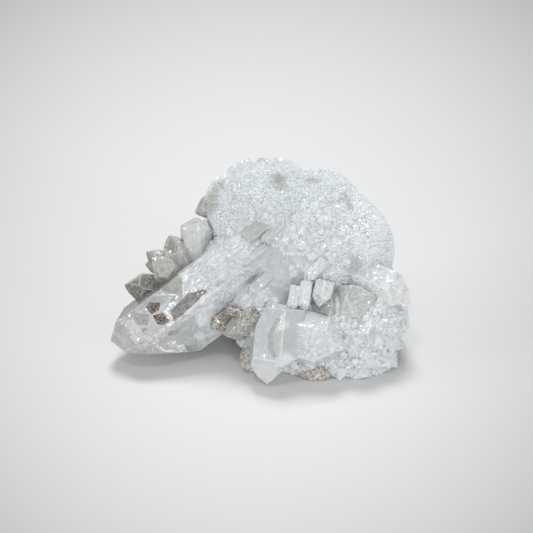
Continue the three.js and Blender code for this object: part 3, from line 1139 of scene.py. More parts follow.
@dataclass(frozen=True)
class Clear:
    """The finish of see-through quartz under a thin veil, which may turn milky some way behind the tip.

    Attributes:
        name: The material's name.
        colour: What colour is let through best.
        density: How strongly the inside absorbs, per metre.
        roughness: How dull the faces are.
        uneven: How high the unevenness of the faces is, in millimetres.
        milky: The finish of the milky part, or none.
        way: The way from the milky part to the tip.
        border: How far along that way from the origin the milky part ends, in millimetres.
        veil: How much of the clear part the veil hides.
        veil_light: The colour of the veil at the tip.
        veil_dark: Its colour near the milky part.
        painted_lines: How strongly the edges are painted with dark and bright dashes, as painted shade and
            painted highlights.
    """

    name: str
    colour: Triple
    density: float
    roughness: float
    uneven: float
    milky: Milky | None
    way: Triple
    border: float
    veil: float
    veil_light: Triple
    veil_dark: Triple
    painted_lines: float

    SHADE = (0.42, 0.42, 0.40)  # the dark mottles of the veil
    SPOT = (0.95, 0.96, 0.96)  # its bright spots
    # the painted shade and the painted highlight of the dashes along the edges
    PAINTED_LINE_SHADE = (0.34, 0.33, 0.31)
    PAINTED_LINE_HIGHLIGHT = (0.94, 0.95, 0.95)
    TURN = 22.0  # how far ahead of the border the veil has its light colour
    FRINGE = 30.0  # how uneven the border is

    @cache
    def material(self) -> bpy.types.Material:
        """The material, which is made once."""
        recipe = Recipe(self.name)
        steps = recipe.bump(recipe.noise(2.5, 2.0, 0.5), self.uneven, 0.6)
        recipe.set(Base_Color=(1.0, 1.0, 1.0, 1.0), Roughness=self.roughness, IOR=QUARTZ_IOR,
                   Transmission_Weight=1.0, Normal=steps)
        recipe.absorb(self.colour, self.density)
        ahead = recipe.along(self.way)
        self.add_veil(recipe, ahead, steps)
        if self.milky is not None:
            fringe = (recipe.noise(5.0, 5.0, 0.65) - 0.5) * self.FRINGE
            share = 1.0 - (ahead + fringe).ramp(self.border - 3.0, self.border + 3.0)
            recipe.cover(share, **self.milky.look(recipe))
        # the edges of the clear part are painted with dashes of painted shade and painted highlight
        dashes = recipe.noise(1.0, 4.0, 0.7).ramp(0.35, 0.65)
        clear = ahead.ramp(self.border - 6.0, self.border + 6.0)
        recipe.cover(recipe.edges() * (clear * self.painted_lines), Roughness=self.roughness,
                     Base_Color=recipe.mix(dashes, self.PAINTED_LINE_SHADE, self.PAINTED_LINE_HIGHLIGHT))
        return recipe.material

    def add_veil(self, recipe: Recipe, ahead: Sum, steps: Sum) -> None:
        """Lays the veil over the clear quartz: patches of two tints with dark mottles and bright spots.

        Args:
            recipe: What the nodes are added to.
            ahead: How far each place is along the way to the tip.
            steps: The normal of the uneven faces.
        """
        patches = recipe.noise(4.0, 4.0, 0.6)
        tint = recipe.mix(ahead.ramp(self.border, self.border + self.TURN) * 0.8 + patches * 0.4 - 0.1,
                          self.veil_dark, self.veil_light)
        fine = recipe.cells(0.6, self.way, 1.6)
        mottled = recipe.noise(0.9, 4.0, 0.7).ramp(0.4, 0.62)
        tint = recipe.mix((1.0 - mottled) * 0.25, tint, self.SHADE)
        tint = recipe.mix(fine.ramp(0.68, 0.8) * mottled * 0.7, tint, self.SPOT)
        hides = patches.ramp(0.2, 0.8) * 0.4 + fine * 0.3 + 0.65
        recipe.cover(hides * self.veil, Base_Color=tint, Roughness=self.roughness, IOR=QUARTZ_IOR,
                     Normal=recipe.facets(fine, 0.12, steps))


@dataclass(frozen=True)
class Matrix:
    """The finish of the brown matrix: blots of brown and beige with fine bright and dark specks.

    Attributes:
        name: The material's name.
        light: The lighter colour of the blots.
        dark: The darker one.
        blot: How large the blots are, in millimetres.
        speck: How large the specks are, in millimetres.
        speckled: How much the specks hide.
        roughness: How dull the faces are.
        painted_edge_light: How strongly the edges are painted white, as painted highlights.
    """

    name: str
    light: Triple = (0.68, 0.65, 0.59)
    dark: Triple = (0.40, 0.36, 0.30)
    blot: float = 1.4
    speck: float = 0.5
    speckled: float = 0.6
    roughness: float = 0.3
    painted_edge_light: float = 0.0

    BRIGHT = (0.68, (0.86, 0.85, 0.80))  # the number of a cell at which bright specks begin, and their colour
    DARK = (0.22, (0.05, 0.035, 0.025))  # the same for dark specks
    LEAN = 0.4  # how far the facet of a speck leans

    @cache
    def material(self) -> bpy.types.Material:
        """The material, which is made once."""
        recipe = Recipe(self.name)
        blots = recipe.noise(self.blot, 5.0, 0.65).ramp(0.35, 0.65)
        own = recipe.cells(self.speck)
        colour = recipe.mix(blots, self.dark, self.light)
        colour = recipe.specked(colour, own, self.speckled, self.BRIGHT, self.DARK)
        # the edges are painted white: painted highlights
        colour = recipe.mix(recipe.edges() * self.painted_edge_light, colour, PAINTED_EDGE_HIGHLIGHT)
        recipe.set(Base_Color=colour, Roughness=self.roughness, Normal=recipe.facets(own, self.LEAN))
        return recipe.material


@dataclass(frozen=True)
class Film:
    """The finish of a thin thing seen in a clear crystal: blots of two colours, with gaps in places.

    Attributes:
        name: The material's name.
        light: The lighter colour.
        dark: The darker colour.
        blot: How large the blots are, in millimetres.
        solid: How much it hides on the whole.
        patchy: How unevenly it hides.
        speckled: How much fine bright and dark specks show in it.
        longer: How many times longer the blots are along the ridge.
        fades: How far along the ridge's way from the origin it begins and ends to fade, or none.
    """

    name: str
    light: Triple
    dark: Triple
    blot: float = 1.0
    solid: float = 0.8
    patchy: float = 0.5
    speckled: float = 0.2
    longer: float = 1.0
    fades: tuple[float, float] | None = None

    BRIGHT = (0.7, (0.80, 0.79, 0.75))  # the number of a cell at which bright specks begin, and their colour
    DARK = (0.24, (0.05, 0.04, 0.03))  # the same for dark specks
    SPECK = 0.35  # how large a speck is, in millimetres

    @cache
    def material(self) -> bpy.types.Material:
        """The material, which is made once."""
        recipe = Recipe(self.name)
        blots = recipe.noise(self.blot, 5.0, 0.7, RIDGE_WAY, self.longer).ramp(0.38, 0.62)
        colour = recipe.specked(recipe.mix(blots, self.dark, self.light),
                                recipe.cells(self.SPECK, RIDGE_WAY), self.speckled, self.BRIGHT, self.DARK)
        hides = (recipe.noise(0.9, 4.0, 0.7, RIDGE_WAY, 1.6) - 0.5) * (3 * self.patchy) + self.solid
        if self.fades is not None:
            hides = hides * (1.0 - recipe.along(unit(RIDGE_WAY)).ramp(*self.fades))
        recipe.set(Base_Color=colour, Roughness=0.2, IOR=QUARTZ_IOR, Alpha=hides.kept())
        return recipe.material


Finish = Druse | Milky | Clear | Matrix | Film


SWELLS = (
    Swell((15.5, 7.5, 26), (24.5, 18.5, 25)),  # the dome's right
    Swell((17, 9, 33), (16, 15, 20.5)),  # the dome's middle
    Swell((3.5, 9, 31.5), (17, 16, 25.8)),  # the dome's left
    Swell((-4, 9, 41), (12, 12, 15)),  # its left shoulder
    Swell((-1, 3, 33.5), (24, 9.5, 9.5), RIDGE_WAY),  # the ridge behind the clear point
    Swell((26, -6, 11), (16.5, 14.5, 14)),  # lower right
    Swell((25, -12, 5), (14.5, 8.5, 9)),  # its foot
    Swell((14, -11, 9), (13, 10, 12)),  # lower front
    Swell((3, -5, 13.5), (11.5, 12, 13)),  # lower middle
    Swell((-10, 8, 17), (16, 13.5, 14.5)),  # under the ridge
    Swell((9, 13.5, 12), (25, 12.5, 16)),  # back foot
    Swell((10, 2, 8), (15, 11, 10.5)),  # the core above the base
)

MATRIX_LUMPS = (
    Swell((-2.6, -13, 2.6), (3.4, 4.6, 4.4)),  # left of the milky block
    Swell((16.2, -18.6, 1.4), (5.2, 3.6, 3.6)),  # right of it
)

# the numbers of the swells that carry each kind of druse
DOME = (0, 1, 2, 3, 4, 11)
DOME_FRONT = (0, 1, 2, 4, 11)
BACK = (0, 1, 2, 3, 9, 10)
FOOT = (5, 6, 7, 8)
RIDGE = 4
RIDGE_SIDES = (2, 3, 4, 7, 8, 9)
UNDER_RIDGE = (9,)

CLEAR_POINT = Crystal(
    (-44.9, -12, 5.3), (-0.8, -0.3, -0.52), 10, 63, -12, (1.67, 0.913, 0.614, 0.64, 0.95, 1.33),
    (0.598, -0.321, -0.735), (((-0.545, -0.3, -0.786), 2.4), ((-0.952, 0.13, 0.278), -0.8)),
    (0.0, 0.16, 0.0, 0.9, 0.2, 0.16))

OLIVE = (0.38, 0.36, 0.28)
BEIGE = (0.50, 0.47, 0.41)
BROWN = (0.26, 0.23, 0.18)
GREY = (0.56, 0.58, 0.58)
WHITE = (0.95, 0.98, 1.0)
PURE_WHITE = (1.0, 1.0, 1.0)
SHELL_VEIL = (0.56, 0.55, 0.50)

DRUSE_PATCHES = (
    Patch((5.7, 0.8, 54.0), 2.2, OLIVE, 0.45),
    Patch((4.6, 1.6, 55.8), 1.8, OLIVE, 0.45),
    Patch((15.2, 5.0, 53.0), 1.7, OLIVE, 0.4),
    Patch((25.0, 2.5, 48.3), 1.6, OLIVE, 0.4),
    Patch((26.1, 0.8, 46.2), 1.2, OLIVE, 0.5),
    # painted light: a white patch that brightens the dome's right side
    Patch((33.0, -3.0, 38.0), 9.0, PURE_WHITE, 0.6),
    Patch((27.4, -8.6, 32.0), 3.0, GREY, 0.7),
    # the dome's left rim
    Patch((-15.4, 3.5, 46.6), 3.6, BEIGE),
    Patch((-13.0, 5.5, 51.0), 2.6, BEIGE),
)
BLOCK_PATCHES = (
    Patch((7.1, -26.6, 15.5), 3.4, (0.60, 0.62, 0.61)),
    Patch((7.1, -27.6, 10.2), 2.4, WHITE, 0.8),
    # painted light: a cream patch on the lower end, which faces down, for light bounced up onto it
    Patch((1.9, -25.5, 4.1), 4.6, (0.85, 0.85, 0.79), 0.7),
    Patch((6.5, -24.7, 20.3), 1.8, WHITE, 0.7),
)
RIDGE_PATCHES = (
    Patch((-10.8, -1.8, 38.3), 2.6, WHITE, 0.7),
    Patch((-6.0, -2.0, 44.8), 3.0, GREY, 0.5),
)
SMOKY_PATCHES = (
    Patch((-27.8, 1.0, 33.5), 2.2, BROWN, 0.55),
    Patch((-34.5, 2.0, 29.0), 2.4, BROWN, 0.55),
    Patch((-20.5, 7.0, 40.0), 2.0, BROWN, 0.5),
)
PALE_PATCHES = (
    Patch((-17.2, 0.6, 38.0), 2.0, WHITE, 0.8),
)

BROWN_PLATES = (
    Plate(2, ((17.8, 2.7), (16.4, 1.8), (16.4, -0.9), (18.8, -1.2), (20.6, 0.4))),
    Plate(2, ((16.5, -1.3), (16.1, -4.5), (17.8, -5.8), (19.6, -5.7), (19.4, -2.4))),
)
SHADOW_PLATES = (
    Plate(2, ((21.5, -3.4), (20.5, -7), (33.5, -5.6), (33.6, -4.4), (29, -2.4))),
)
GREY_PLATES = (
    Plate(2, ((12.9, 2.6), (11.4, 1.4), (11.1, -0.6), (13.6, -2.9), (15.9, -0.5))),  # the window
    Plate(2, ((11.4, -2.3), (11.2, -3.7), (13.3, -3.8))),
    Plate(2, ((22.7, 3.9), (26.9, -2.2), (30.5, 3.5))),
    Plate(1, ((17.2, 0.3), (16.5, -1.2), (19.5, -3), (20, -1.7))),
    Plate(1, ((18.3, -8.3), (18.1, -11.3), (20.9, -12.9), (20.4, -9.9))),
)
# painted highlights: bright lines and a bright band on the clear point's faces
PAINTED_HIGHLIGHT_PLATES = (
    Plate(2, ((19.9, -2.1), (20.3, -5.9), (20.9, -5.7), (20.7, -2.3))),
    Plate(2, ((18.7, -6.4), (18.5, -7.05), (23, -7.05), (23, -6.5))),
    Plate(2, ((20.6, 3.9), (20.3, 3.5), (27.9, -2.6), (28.1, -2.2))),
    Plate(2, ((31.2, 2.8), (30.9, 3), (26.8, -2.2), (27, -2.5))),
    Plate(1, ((11.8, 1.8), (11.7, -1.7), (12.5, -4.7), (13.3, -4.7), (12.6, -2.1))),
    Plate(1, ((13.3, -4.7), (12.4, -4.7), (15, -8.4), (19.6, -12.6), (19.9, -12.1), (15.9, -8.1))),
    Plate(1, ((15.1, -2.8), (14.7, -4.9), (16.9, -6.2), (17.2, -4.4))),
    Plate(1, ((16.5, -6.3), (16.2, -8.1), (18.4, -9.4), (18.4, -7.4))),
)
SEAM_PLATES = (
    Plate(0, ((20.4, -3.6), (20.6, -5.1), (15.9, -3.1), (11.9, -3.3), (9.2, -5), (9, -3.7), (11.7, -1.7),
              (15.7, -1.5))),
)
STREAK_PLATES = (
    Plate(0, ((21.5, -5.1), (22, -6.5), (20.5, -5.7), (18.4, -5.5), (17.2, -5.6), (17, -4.7), (19.2, -4.1))),
)

MILKY_BLOCK = Crystal((1.9, -24.4, 0.6), (-0.1, -0.37, -0.92), 6.9, 23, 10, (0.9, 0.78, 0.95, 0.95, 1.2, 1.2),
                      cuts=(((-0.89, 0.19, 0.41), -10.7),))

GREY_FACE = Crystal((-6.3, -3.9, 36), (-0.77, -0.15, -0.6), 2.6, 20, 0, (1, 1.1, 1.3, 1, 1.1, 1.1),
                    (-0.2, -0.857, 0.474), (((1, -0.2, 0), -10.6),))

MILKY_CRYSTALS = (
    Crystal((26.2, -21, 10.8), (0.97, -0.15, -0.2), 6.5, 25, 15, BLOCKY),  # what the block leans on
    Crystal((30.9, -23, 16.4), (0.12, -0.9, 0.42), 5.8, 18, 20, BLOCKY),
    Crystal((45.0, -8.5, 19.3), (0.9, -0.28, -0.33), 6.2, 20, 30),
    Crystal((16, 28.7, 27), (0.12, 1, 0.1), 5.4, 16, 10, BLOCKY),
    Crystal((-4, 26.6, 16), (-0.25, 1, -0.1), 5, 16, 35, BLOCKY),
    Crystal((-9, 23, 38), (-0.4, 0.85, 0.3), 4.4, 14, 20),
)

GREEN_CRYSTALS = (
    Crystal((24.6, -14.5, 28.0), (-0.25, -0.35, 0.9), 6.8, 16, 25, BLOCKY),
    # a dark grey-green crystal in the gap beside the pale green face; its dark finish is painted shade for
    # the gap
    Crystal((20.5, -14.5, 25.0), (0.1, -0.3, 0.95), 4.5, 12, 0),
)

GREY_CRYSTALS = (
    Crystal((-20.2, 4, 43), (-0.04, 0, 1), 3.8, 20, 16, BLOCKY, cuts=(((-0.3, 0, 1), 2.8),)),
    Crystal((-19.9, 8, 41.2), (-0.86, -0.2, -0.3), 3.2, 14, 0),
    Crystal((-27.5, 4, 35.8), (-0.42, 0, 0.9), 4.4, 18, 15, BLOCKY),
    Crystal((-32.6, 0, 30), (-0.62, -0.3, 0.7), 4.3, 17, 40),
    Crystal((-34.6, 4, 30.3), (-0.85, 0.1, 0.5), 2.6, 12, 20),
    Crystal((-35, 3, 26.6), (-0.96, -0.1, 0.2), 2.2, 12, 0),
    Crystal((-10.6, -14.5, 11.4), (-0.85, -0.45, -0.3), 3.7, 16, 0, BLOCKY),  # beside the milky block
)

BROWN_CRYSTALS = (
    Crystal((-41.3, 0, 20.9), (-0.95, -0.12, 0.16), 4.2, 18, 20),
    Crystal((-1.2, -14.5, 17.6), (0.9, -0.3, -0.1), 1.5, 9, 10),
    Crystal((-7.2, -17.9, 15.0), (-0.7, -0.68, -0.1), 4.4, 15, 25),
    Crystal((-14.9, -12, 12.4), (-0.75, -0.6, -0.3), 2.5, 11, 25),
    Crystal((-12.0, -11.5, 10.8), (-0.8, -0.5, -0.35), 2.2, 10, 50),
)

SHORT_PRISMS = (
    # the short bright prisms under the dome
    Crystal((17.0, -16, 21.4), (-0.25, -0.5, -0.83), 2.8, 8, 12),
    Crystal((12.8, -13, 28.0), (-0.62, -0.42, -0.6), 2.0, 9, 0),
    Crystal((8.9, -17, 20.3), (-0.2, -0.5, -0.84), 1.6, 8, 20),
    Crystal((12.4, -17, 20.6), (-0.14, -0.5, -0.85), 1.8, 9, 30),
)

RIDGE_CRYSTALS = (
    Crystal((-0.1, -6, 37.5), (-0.77, -0.15, -0.6), 1.6, 11, 18, cuts=(((1, -0.2, 0), -7),)),
    Crystal((-5.8, -8.1, 30.8), (-0.79, -0.2, -0.58), 1.5, 10, 18),
    Crystal((-3.9, -10.0, 22.0), (-0.72, -0.4, -0.56), 2.2, 12, 18),
    Crystal((-15, -7.5, 31.0), (-0.4, -0.75, 0.5), 2.4, 9, 0),
    Crystal((-16.6, 4, 41.2), (0.1, -0.06, 1), 2.4, 16, 10),
)

SMALL_CRYSTALS = (
    # the lower right edge
    Crystal((45, -9, 11.8), (0.95, -0.2, 0.05), 3.4, 14, 15),
    Crystal((43.8, -9, 5), (0.95, -0.25, -0.05), 3.2, 13, 45),
    Crystal((38.4, -15, 6.4), (0.7, -0.68, -0.1), 3.2, 12, 30),
    Crystal((37.6, -16.6, 15.6), (0.55, -0.8, 0.2), 3.4, 12, 0),
    Crystal((33, -20, 5), (0.3, -0.9, -0.1), 3.2, 11, 10),
    Crystal((24, -20.4, 3.6), (-0.1, -0.95, 0.1), 2.8, 10, 40),
)

FAR_CRYSTALS = FarCrystals((*SWELLS, *MATRIX_LUMPS)).found()

ALL_CRYSTALS = (CLEAR_POINT, MILKY_BLOCK, GREY_FACE, *MILKY_CRYSTALS, *GREEN_CRYSTALS, *GREY_CRYSTALS,
                *BROWN_CRYSTALS, *SHORT_PRISMS, *RIDGE_CRYSTALS, *SMALL_CRYSTALS, *FAR_CRYSTALS)


MASSIVE_QUARTZ = Milky("milky_quartz", glitter=0.15)
MATRIX = Matrix("matrix")
FINE_DRUSE = Druse("fine_druse", (0.90, 0.93, 0.95), (0.74, 0.78, 0.80), DRUSE_PATCHES)
COARSE_DRUSE = Druse("coarse_druse", (0.97, 1.0, 1.0), (0.86, 0.91, 0.93), roughness=0.06, see_through=0.03)
GLASSY_POINTS = Milky("glassy_points", (0.97, 1.0, 1.0), (0.78, 0.82, 0.85), PURE_WHITE, 1.0, cell=1.6,
                      longer=1.5, glitter=0.5, roughness=0.05, painted_edge_light=0.9)
RIDGE_GRAINS = Milky("ridge_grains", (0.94, 0.97, 0.99), (0.72, 0.76, 0.79), PURE_WHITE, 0.8, cell=1.2,
                     glitter=0.4, roughness=0.05, painted_edge_light=0.3, patches=RIDGE_PATCHES)
# the white patch at the clear point's lower root is painted light, on a part that lies in shade
RIDGE_QUARTZ = Milky("ridge_quartz", (0.74, 0.78, 0.80), (0.54, 0.58, 0.60), WHITE, 0.8, glitter=0.4,
                     roughness=0.05, patches=(Patch((-18.5, -11.0, 9.0), 10.0, WHITE, 0.9),))
RIDGE_CRYSTAL = Milky("ridge_crystals", (0.80, 0.84, 0.86), (0.62, 0.66, 0.68), painted_glint_strength=0.5, painted_edge_light=0.7,
                      see_through=0.25)
CLEAR_TO_MILKY = Clear("clear_point", (0.78, 0.80, 0.76), 3.0, 0.03, 0.05, RIDGE_QUARTZ, CLEAR_POINT.way,
                       11.0, 0.62, (0.78, 0.785, 0.75), (0.68, 0.71, 0.73), 0.5)
BLOCK_QUARTZ = Milky("milky_block", (0.69, 0.72, 0.74), (0.55, 0.58, 0.60), painted_glint_strength=0.35, cell=3.0,
                     way=MILKY_BLOCK.way, lean=0.05, painted_border_light=0.15, glitter=0.12, painted_edge_light=0.4,
                     patches=BLOCK_PATCHES)
# the white patch over the crystals at the lower right is painted light
MILKY_CRYSTAL = Milky("milky_crystal", (0.85, 0.89, 0.91), (0.60, 0.64, 0.67), PURE_WHITE, 0.9, cell=2.2,
                      longer=1.6, painted_border_light=0.8, grain=0.42, glitter=0.45, roughness=0.06, painted_edge_light=0.8,
                      patches=(Patch((43.0, -10.0, 20.0), 9.0, PURE_WHITE, 0.9),))
PALE_GREEN = Milky("green_grey_quartz", (0.68, 0.70, 0.67), (0.51, 0.53, 0.48), painted_glint_strength=0.7, cell=2.4,
                   longer=1.5, lean=0.2, painted_border_light=0.25, grain=0.4, roughness=0.06, painted_edge_light=0.3)
# greenish quartz painted darker: painted shade in the gap beside the pale green face
GREEN_QUARTZ_IN_PAINTED_SHADE = replace(PALE_GREEN, name="green_quartz_in_painted_shade", light=(0.52, 0.56, 0.51), dark=(0.34, 0.38, 0.33),
                        painted_glint_strength=0.05)
SMOOTH_GREY = Milky("grey_quartz", (0.62, 0.63, 0.62), (0.51, 0.52, 0.52), painted_glint_strength=0.3, cell=4.0, lean=0.05,
                    painted_border_light=0.1, glitter=0.1, painted_edge_light=0.1)
BRIGHT_QUARTZ = Milky("bright_quartz", (0.96, 0.99, 1.0), (0.68, 0.72, 0.74), PURE_WHITE, 1.0,
                       SHORT_PRISMS[0].way, 0.7, 5.0, 0.3, 0.5, 0.35, 0.45, 0.06, 0.6)
BEIGE_QUARTZ = Milky("beige_quartz", (0.61, 0.61, 0.57), (0.39, 0.39, 0.36), painted_glint_strength=0.35, cell=1.6,
                     way=(-0.2, 0, 1), longer=2.5, painted_border_light=0.2, roughness=0.06, see_through=0.2,
                     patches=SMOKY_PATCHES)
PALE_BEIGE_QUARTZ = replace(BEIGE_QUARTZ, name="pale_beige_quartz", light=(0.82, 0.83, 0.80),
                            dark=(0.62, 0.62, 0.59), patches=PALE_PATCHES)
BROWN_CORE = Matrix("brown_core", (0.36, 0.29, 0.23), (0.06, 0.045, 0.035), 0.9, 0.5, 0.85)
ROUGH_QUARTZ = Matrix("rough_quartz", (0.46, 0.42, 0.37), (0.17, 0.14, 0.11), 1.0, 0.4, 0.6, 0.1, 0.3)
SPECKLED_QUARTZ = Matrix("speckled_quartz", (0.52, 0.51, 0.48), (0.33, 0.31, 0.28), 1.6, 0.4, 0.55, 0.1, 0.15)
BROWN_SHELL = Clear("brown_shell", (0.80, 0.79, 0.74), 6.0, 0.14, 0.08, None, (0.0, 0.0, -1.0), -200.0, 0.26,
                    SHELL_VEIL, SHELL_VEIL, 0.3)
BROWN_FILM = Film("brown_film", (0.29, 0.235, 0.19), (0.05, 0.04, 0.03), 0.7, 1.0, 0.1, 0.15)
SHADOW_FILM = Film("shadow_film", (0.36, 0.34, 0.32), (0.19, 0.175, 0.165), 1.2, 0.85, 0.3, 0.1)
GREY_FILM = Film("grey_film", (0.50, 0.50, 0.47), (0.38, 0.38, 0.36), 2.0, 0.7, 0.2)
# a white film; in the clear point its plates are painted highlights
PALE_FILM = Film("painted_highlight_film", PURE_WHITE, (0.85, 0.86, 0.85), 0.8, 0.8, 1.1, 0.0)
SEAM_FILM = Film("seam_film", (0.64, 0.62, 0.58), (0.53, 0.51, 0.47), 1.0, 0.5, 0.6)
BLADE_FILM = Film("blade_film", (0.36, 0.35, 0.33), (0.13, 0.125, 0.12), 1.0, 0.95, 0.15, 0.1, 9.0,
                  (-20.0, 4.0))


@dataclass(frozen=True)
class Group:
    """Crystals of one finish, made as one piece.

    Attributes:
        name: The piece's name.
        crystals: The crystals.
        finish: Their finish.
        inset: How far inside their faces the piece begins, as a share of the half width.
    """

    name: str
    crystals: tuple[Crystal, ...]
    finish: Finish
    inset: float = 0.0


@dataclass(frozen=True)
class Inlay:
    """Plates of one finish in one crystal, made as one piece.

    Attributes:
        name: The piece's name.
        plates: The plates.
        crystal: The crystal that they are in.
        finish: Their finish.
    """

    name: str
    plates: tuple[Plate, ...]
    crystal: Crystal
    finish: Film


POINT_GROUP = Group("clear_point", (CLEAR_POINT,), CLEAR_TO_MILKY)

INLAYS = (
    Inlay("brown_plates", BROWN_PLATES, CLEAR_POINT, BROWN_FILM),
    Inlay("shadow_plates", SHADOW_PLATES, CLEAR_POINT, SHADOW_FILM),
    Inlay("grey_plates", GREY_PLATES, CLEAR_POINT, GREY_FILM),
    Inlay("painted_highlight_plates", PAINTED_HIGHLIGHT_PLATES, CLEAR_POINT, PALE_FILM),
    Inlay("block_seam", SEAM_PLATES, MILKY_BLOCK, SEAM_FILM),
    Inlay("block_streaks", STREAK_PLATES, MILKY_BLOCK, replace(PALE_FILM, name="streak_film")),
)

GROUPS = (
    Group("milky_block", (MILKY_BLOCK,), BLOCK_QUARTZ),
    Group("grey_face", (GREY_FACE,), SMOOTH_GREY),
    Group("milky_crystals", MILKY_CRYSTALS, MILKY_CRYSTAL),
    Group("pale_green_face", GREEN_CRYSTALS[:1], PALE_GREEN),
    # the dark crystal in the gap, in painted shade
    Group("green_face", GREEN_CRYSTALS[1:], GREEN_QUARTZ_IN_PAINTED_SHADE),
    Group("far_crystals", FAR_CRYSTALS, RIDGE_CRYSTAL),
    Group("pale_crystals", GREY_CRYSTALS[:1], PALE_BEIGE_QUARTZ),
    Group("grey_crystals", GREY_CRYSTALS[1:], BEIGE_QUARTZ),
    Group("brown_crystals", BROWN_CRYSTALS[:1], BROWN_SHELL),
    Group("brown_core", BROWN_CRYSTALS[:1], BROWN_CORE, 0.32),
    Group("speckled_crystal", BROWN_CRYSTALS[2:3], SPECKLED_QUARTZ),
    Group("rough_crystals", (BROWN_CRYSTALS[1], *BROWN_CRYSTALS[3:]), ROUGH_QUARTZ),
    Group("short_prisms", SHORT_PRISMS, BRIGHT_QUARTZ),
    Group("ridge_crystals", RIDGE_CRYSTALS, RIDGE_CRYSTAL),
    Group("small_crystals", SMALL_CRYSTALS, MILKY_CRYSTAL),
)


def wear(piece: bpy.types.Object, finish: Finish) -> None:
    """Gives a piece its finish and its place in the model.

    Args:
        piece: The finished piece.
        finish: Its finish.
    """
    piece.data.materials.append(finish.material())
    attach(piece, "root")
    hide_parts(NODE)
    LOG.info("%s: %d faces", piece.name, len(piece.data.polygons))


@dataclass
class Massif:
    """The massive quartz under the druse: the swells joined in one rolling surface.

    Attributes:
        voxel: The grain of the joined mesh.
        step: The edge length of a swell before it is joined.
        smoothings: How often the joined mesh is smoothed.
    """

    voxel: float = 0.55
    step: float = 1.2
    smoothings: int = 2

    def build(self) -> None:
        """Makes the massive quartz and the matrix."""
        self.joined("massive_quartz", SWELLS, MASSIVE_QUARTZ)
        self.joined("matrix_lumps", MATRIX_LUMPS, MATRIX)

    def joined(self, name: str, swells: Sequence[Swell], finish: Finish) -> None:
        """Joins swells in one closed surface and cuts it off flat at the base.

        Args:
            name: The piece's name.
            swells: The swells.
            finish: Their finish.
        """
        rough = Skin.joined([swell.skin(self.step) for swell in swells]).to_object(name + "_parts")
        remesh = rough.modifiers.new("one surface", "REMESH")
        remesh.mode = "VOXEL"
        remesh.voxel_size = self.voxel * MM
        remesh.use_smooth_shade = True
        smooth = rough.modifiers.new("smooth", "SMOOTH")
        smooth.iterations = self.smoothings
        depsgraph = bpy.context.evaluated_depsgraph_get()
        mesh = bpy.data.meshes.new_from_object(rough.evaluated_get(depsgraph))
        bpy.data.objects.remove(rough)
        corners = np.empty(3 * len(mesh.vertices), np.float32)
        mesh.vertices.foreach_get("co", corners)
        corners = corners.reshape(-1, 3)
        corners[:, 2] = np.maximum(corners[:, 2], 0.0)
        mesh.vertices.foreach_set("co", corners.ravel())
        mesh.name = name
        mesh.materials.clear()
        tone = mesh.attributes.new(TONE, "FLOAT", "FACE")
        tone.data.foreach_set("value", np.full(len(mesh.polygons), MEAN_TONE, np.float32))
        mesh.update()
        piece = bpy.data.objects.new(name, mesh)
        bpy.context.scene.collection.objects.link(piece)
        wear(piece, finish)


@dataclass(frozen=True)
class Layer:
    """Grains of one kind that stand about square to the skin.

    Attributes:
        name: The piece's name.
        swells: The numbers of the swells that carry them.
        spacing: About how far apart they are.
        salt: Picks their places and sizes.
        half: Their mean half width.
        lean: How far they lean from square.
        finish: Their finish.
        keeps: Tells for places and the ways that the skin faces there which of them hold a grain.
        habit: Their form.
        sunk: How far they are sunk in the skin, in half widths.
    """

    name: str
    swells: tuple[int, ...]
    spacing: float
    salt: int
    half: float
    lean: float
    finish: Finish
    keeps: Callable[[np.ndarray, np.ndarray], np.ndarray]
    habit: Habit = Habit.PYRAMIDS
    sunk: float = 0.0


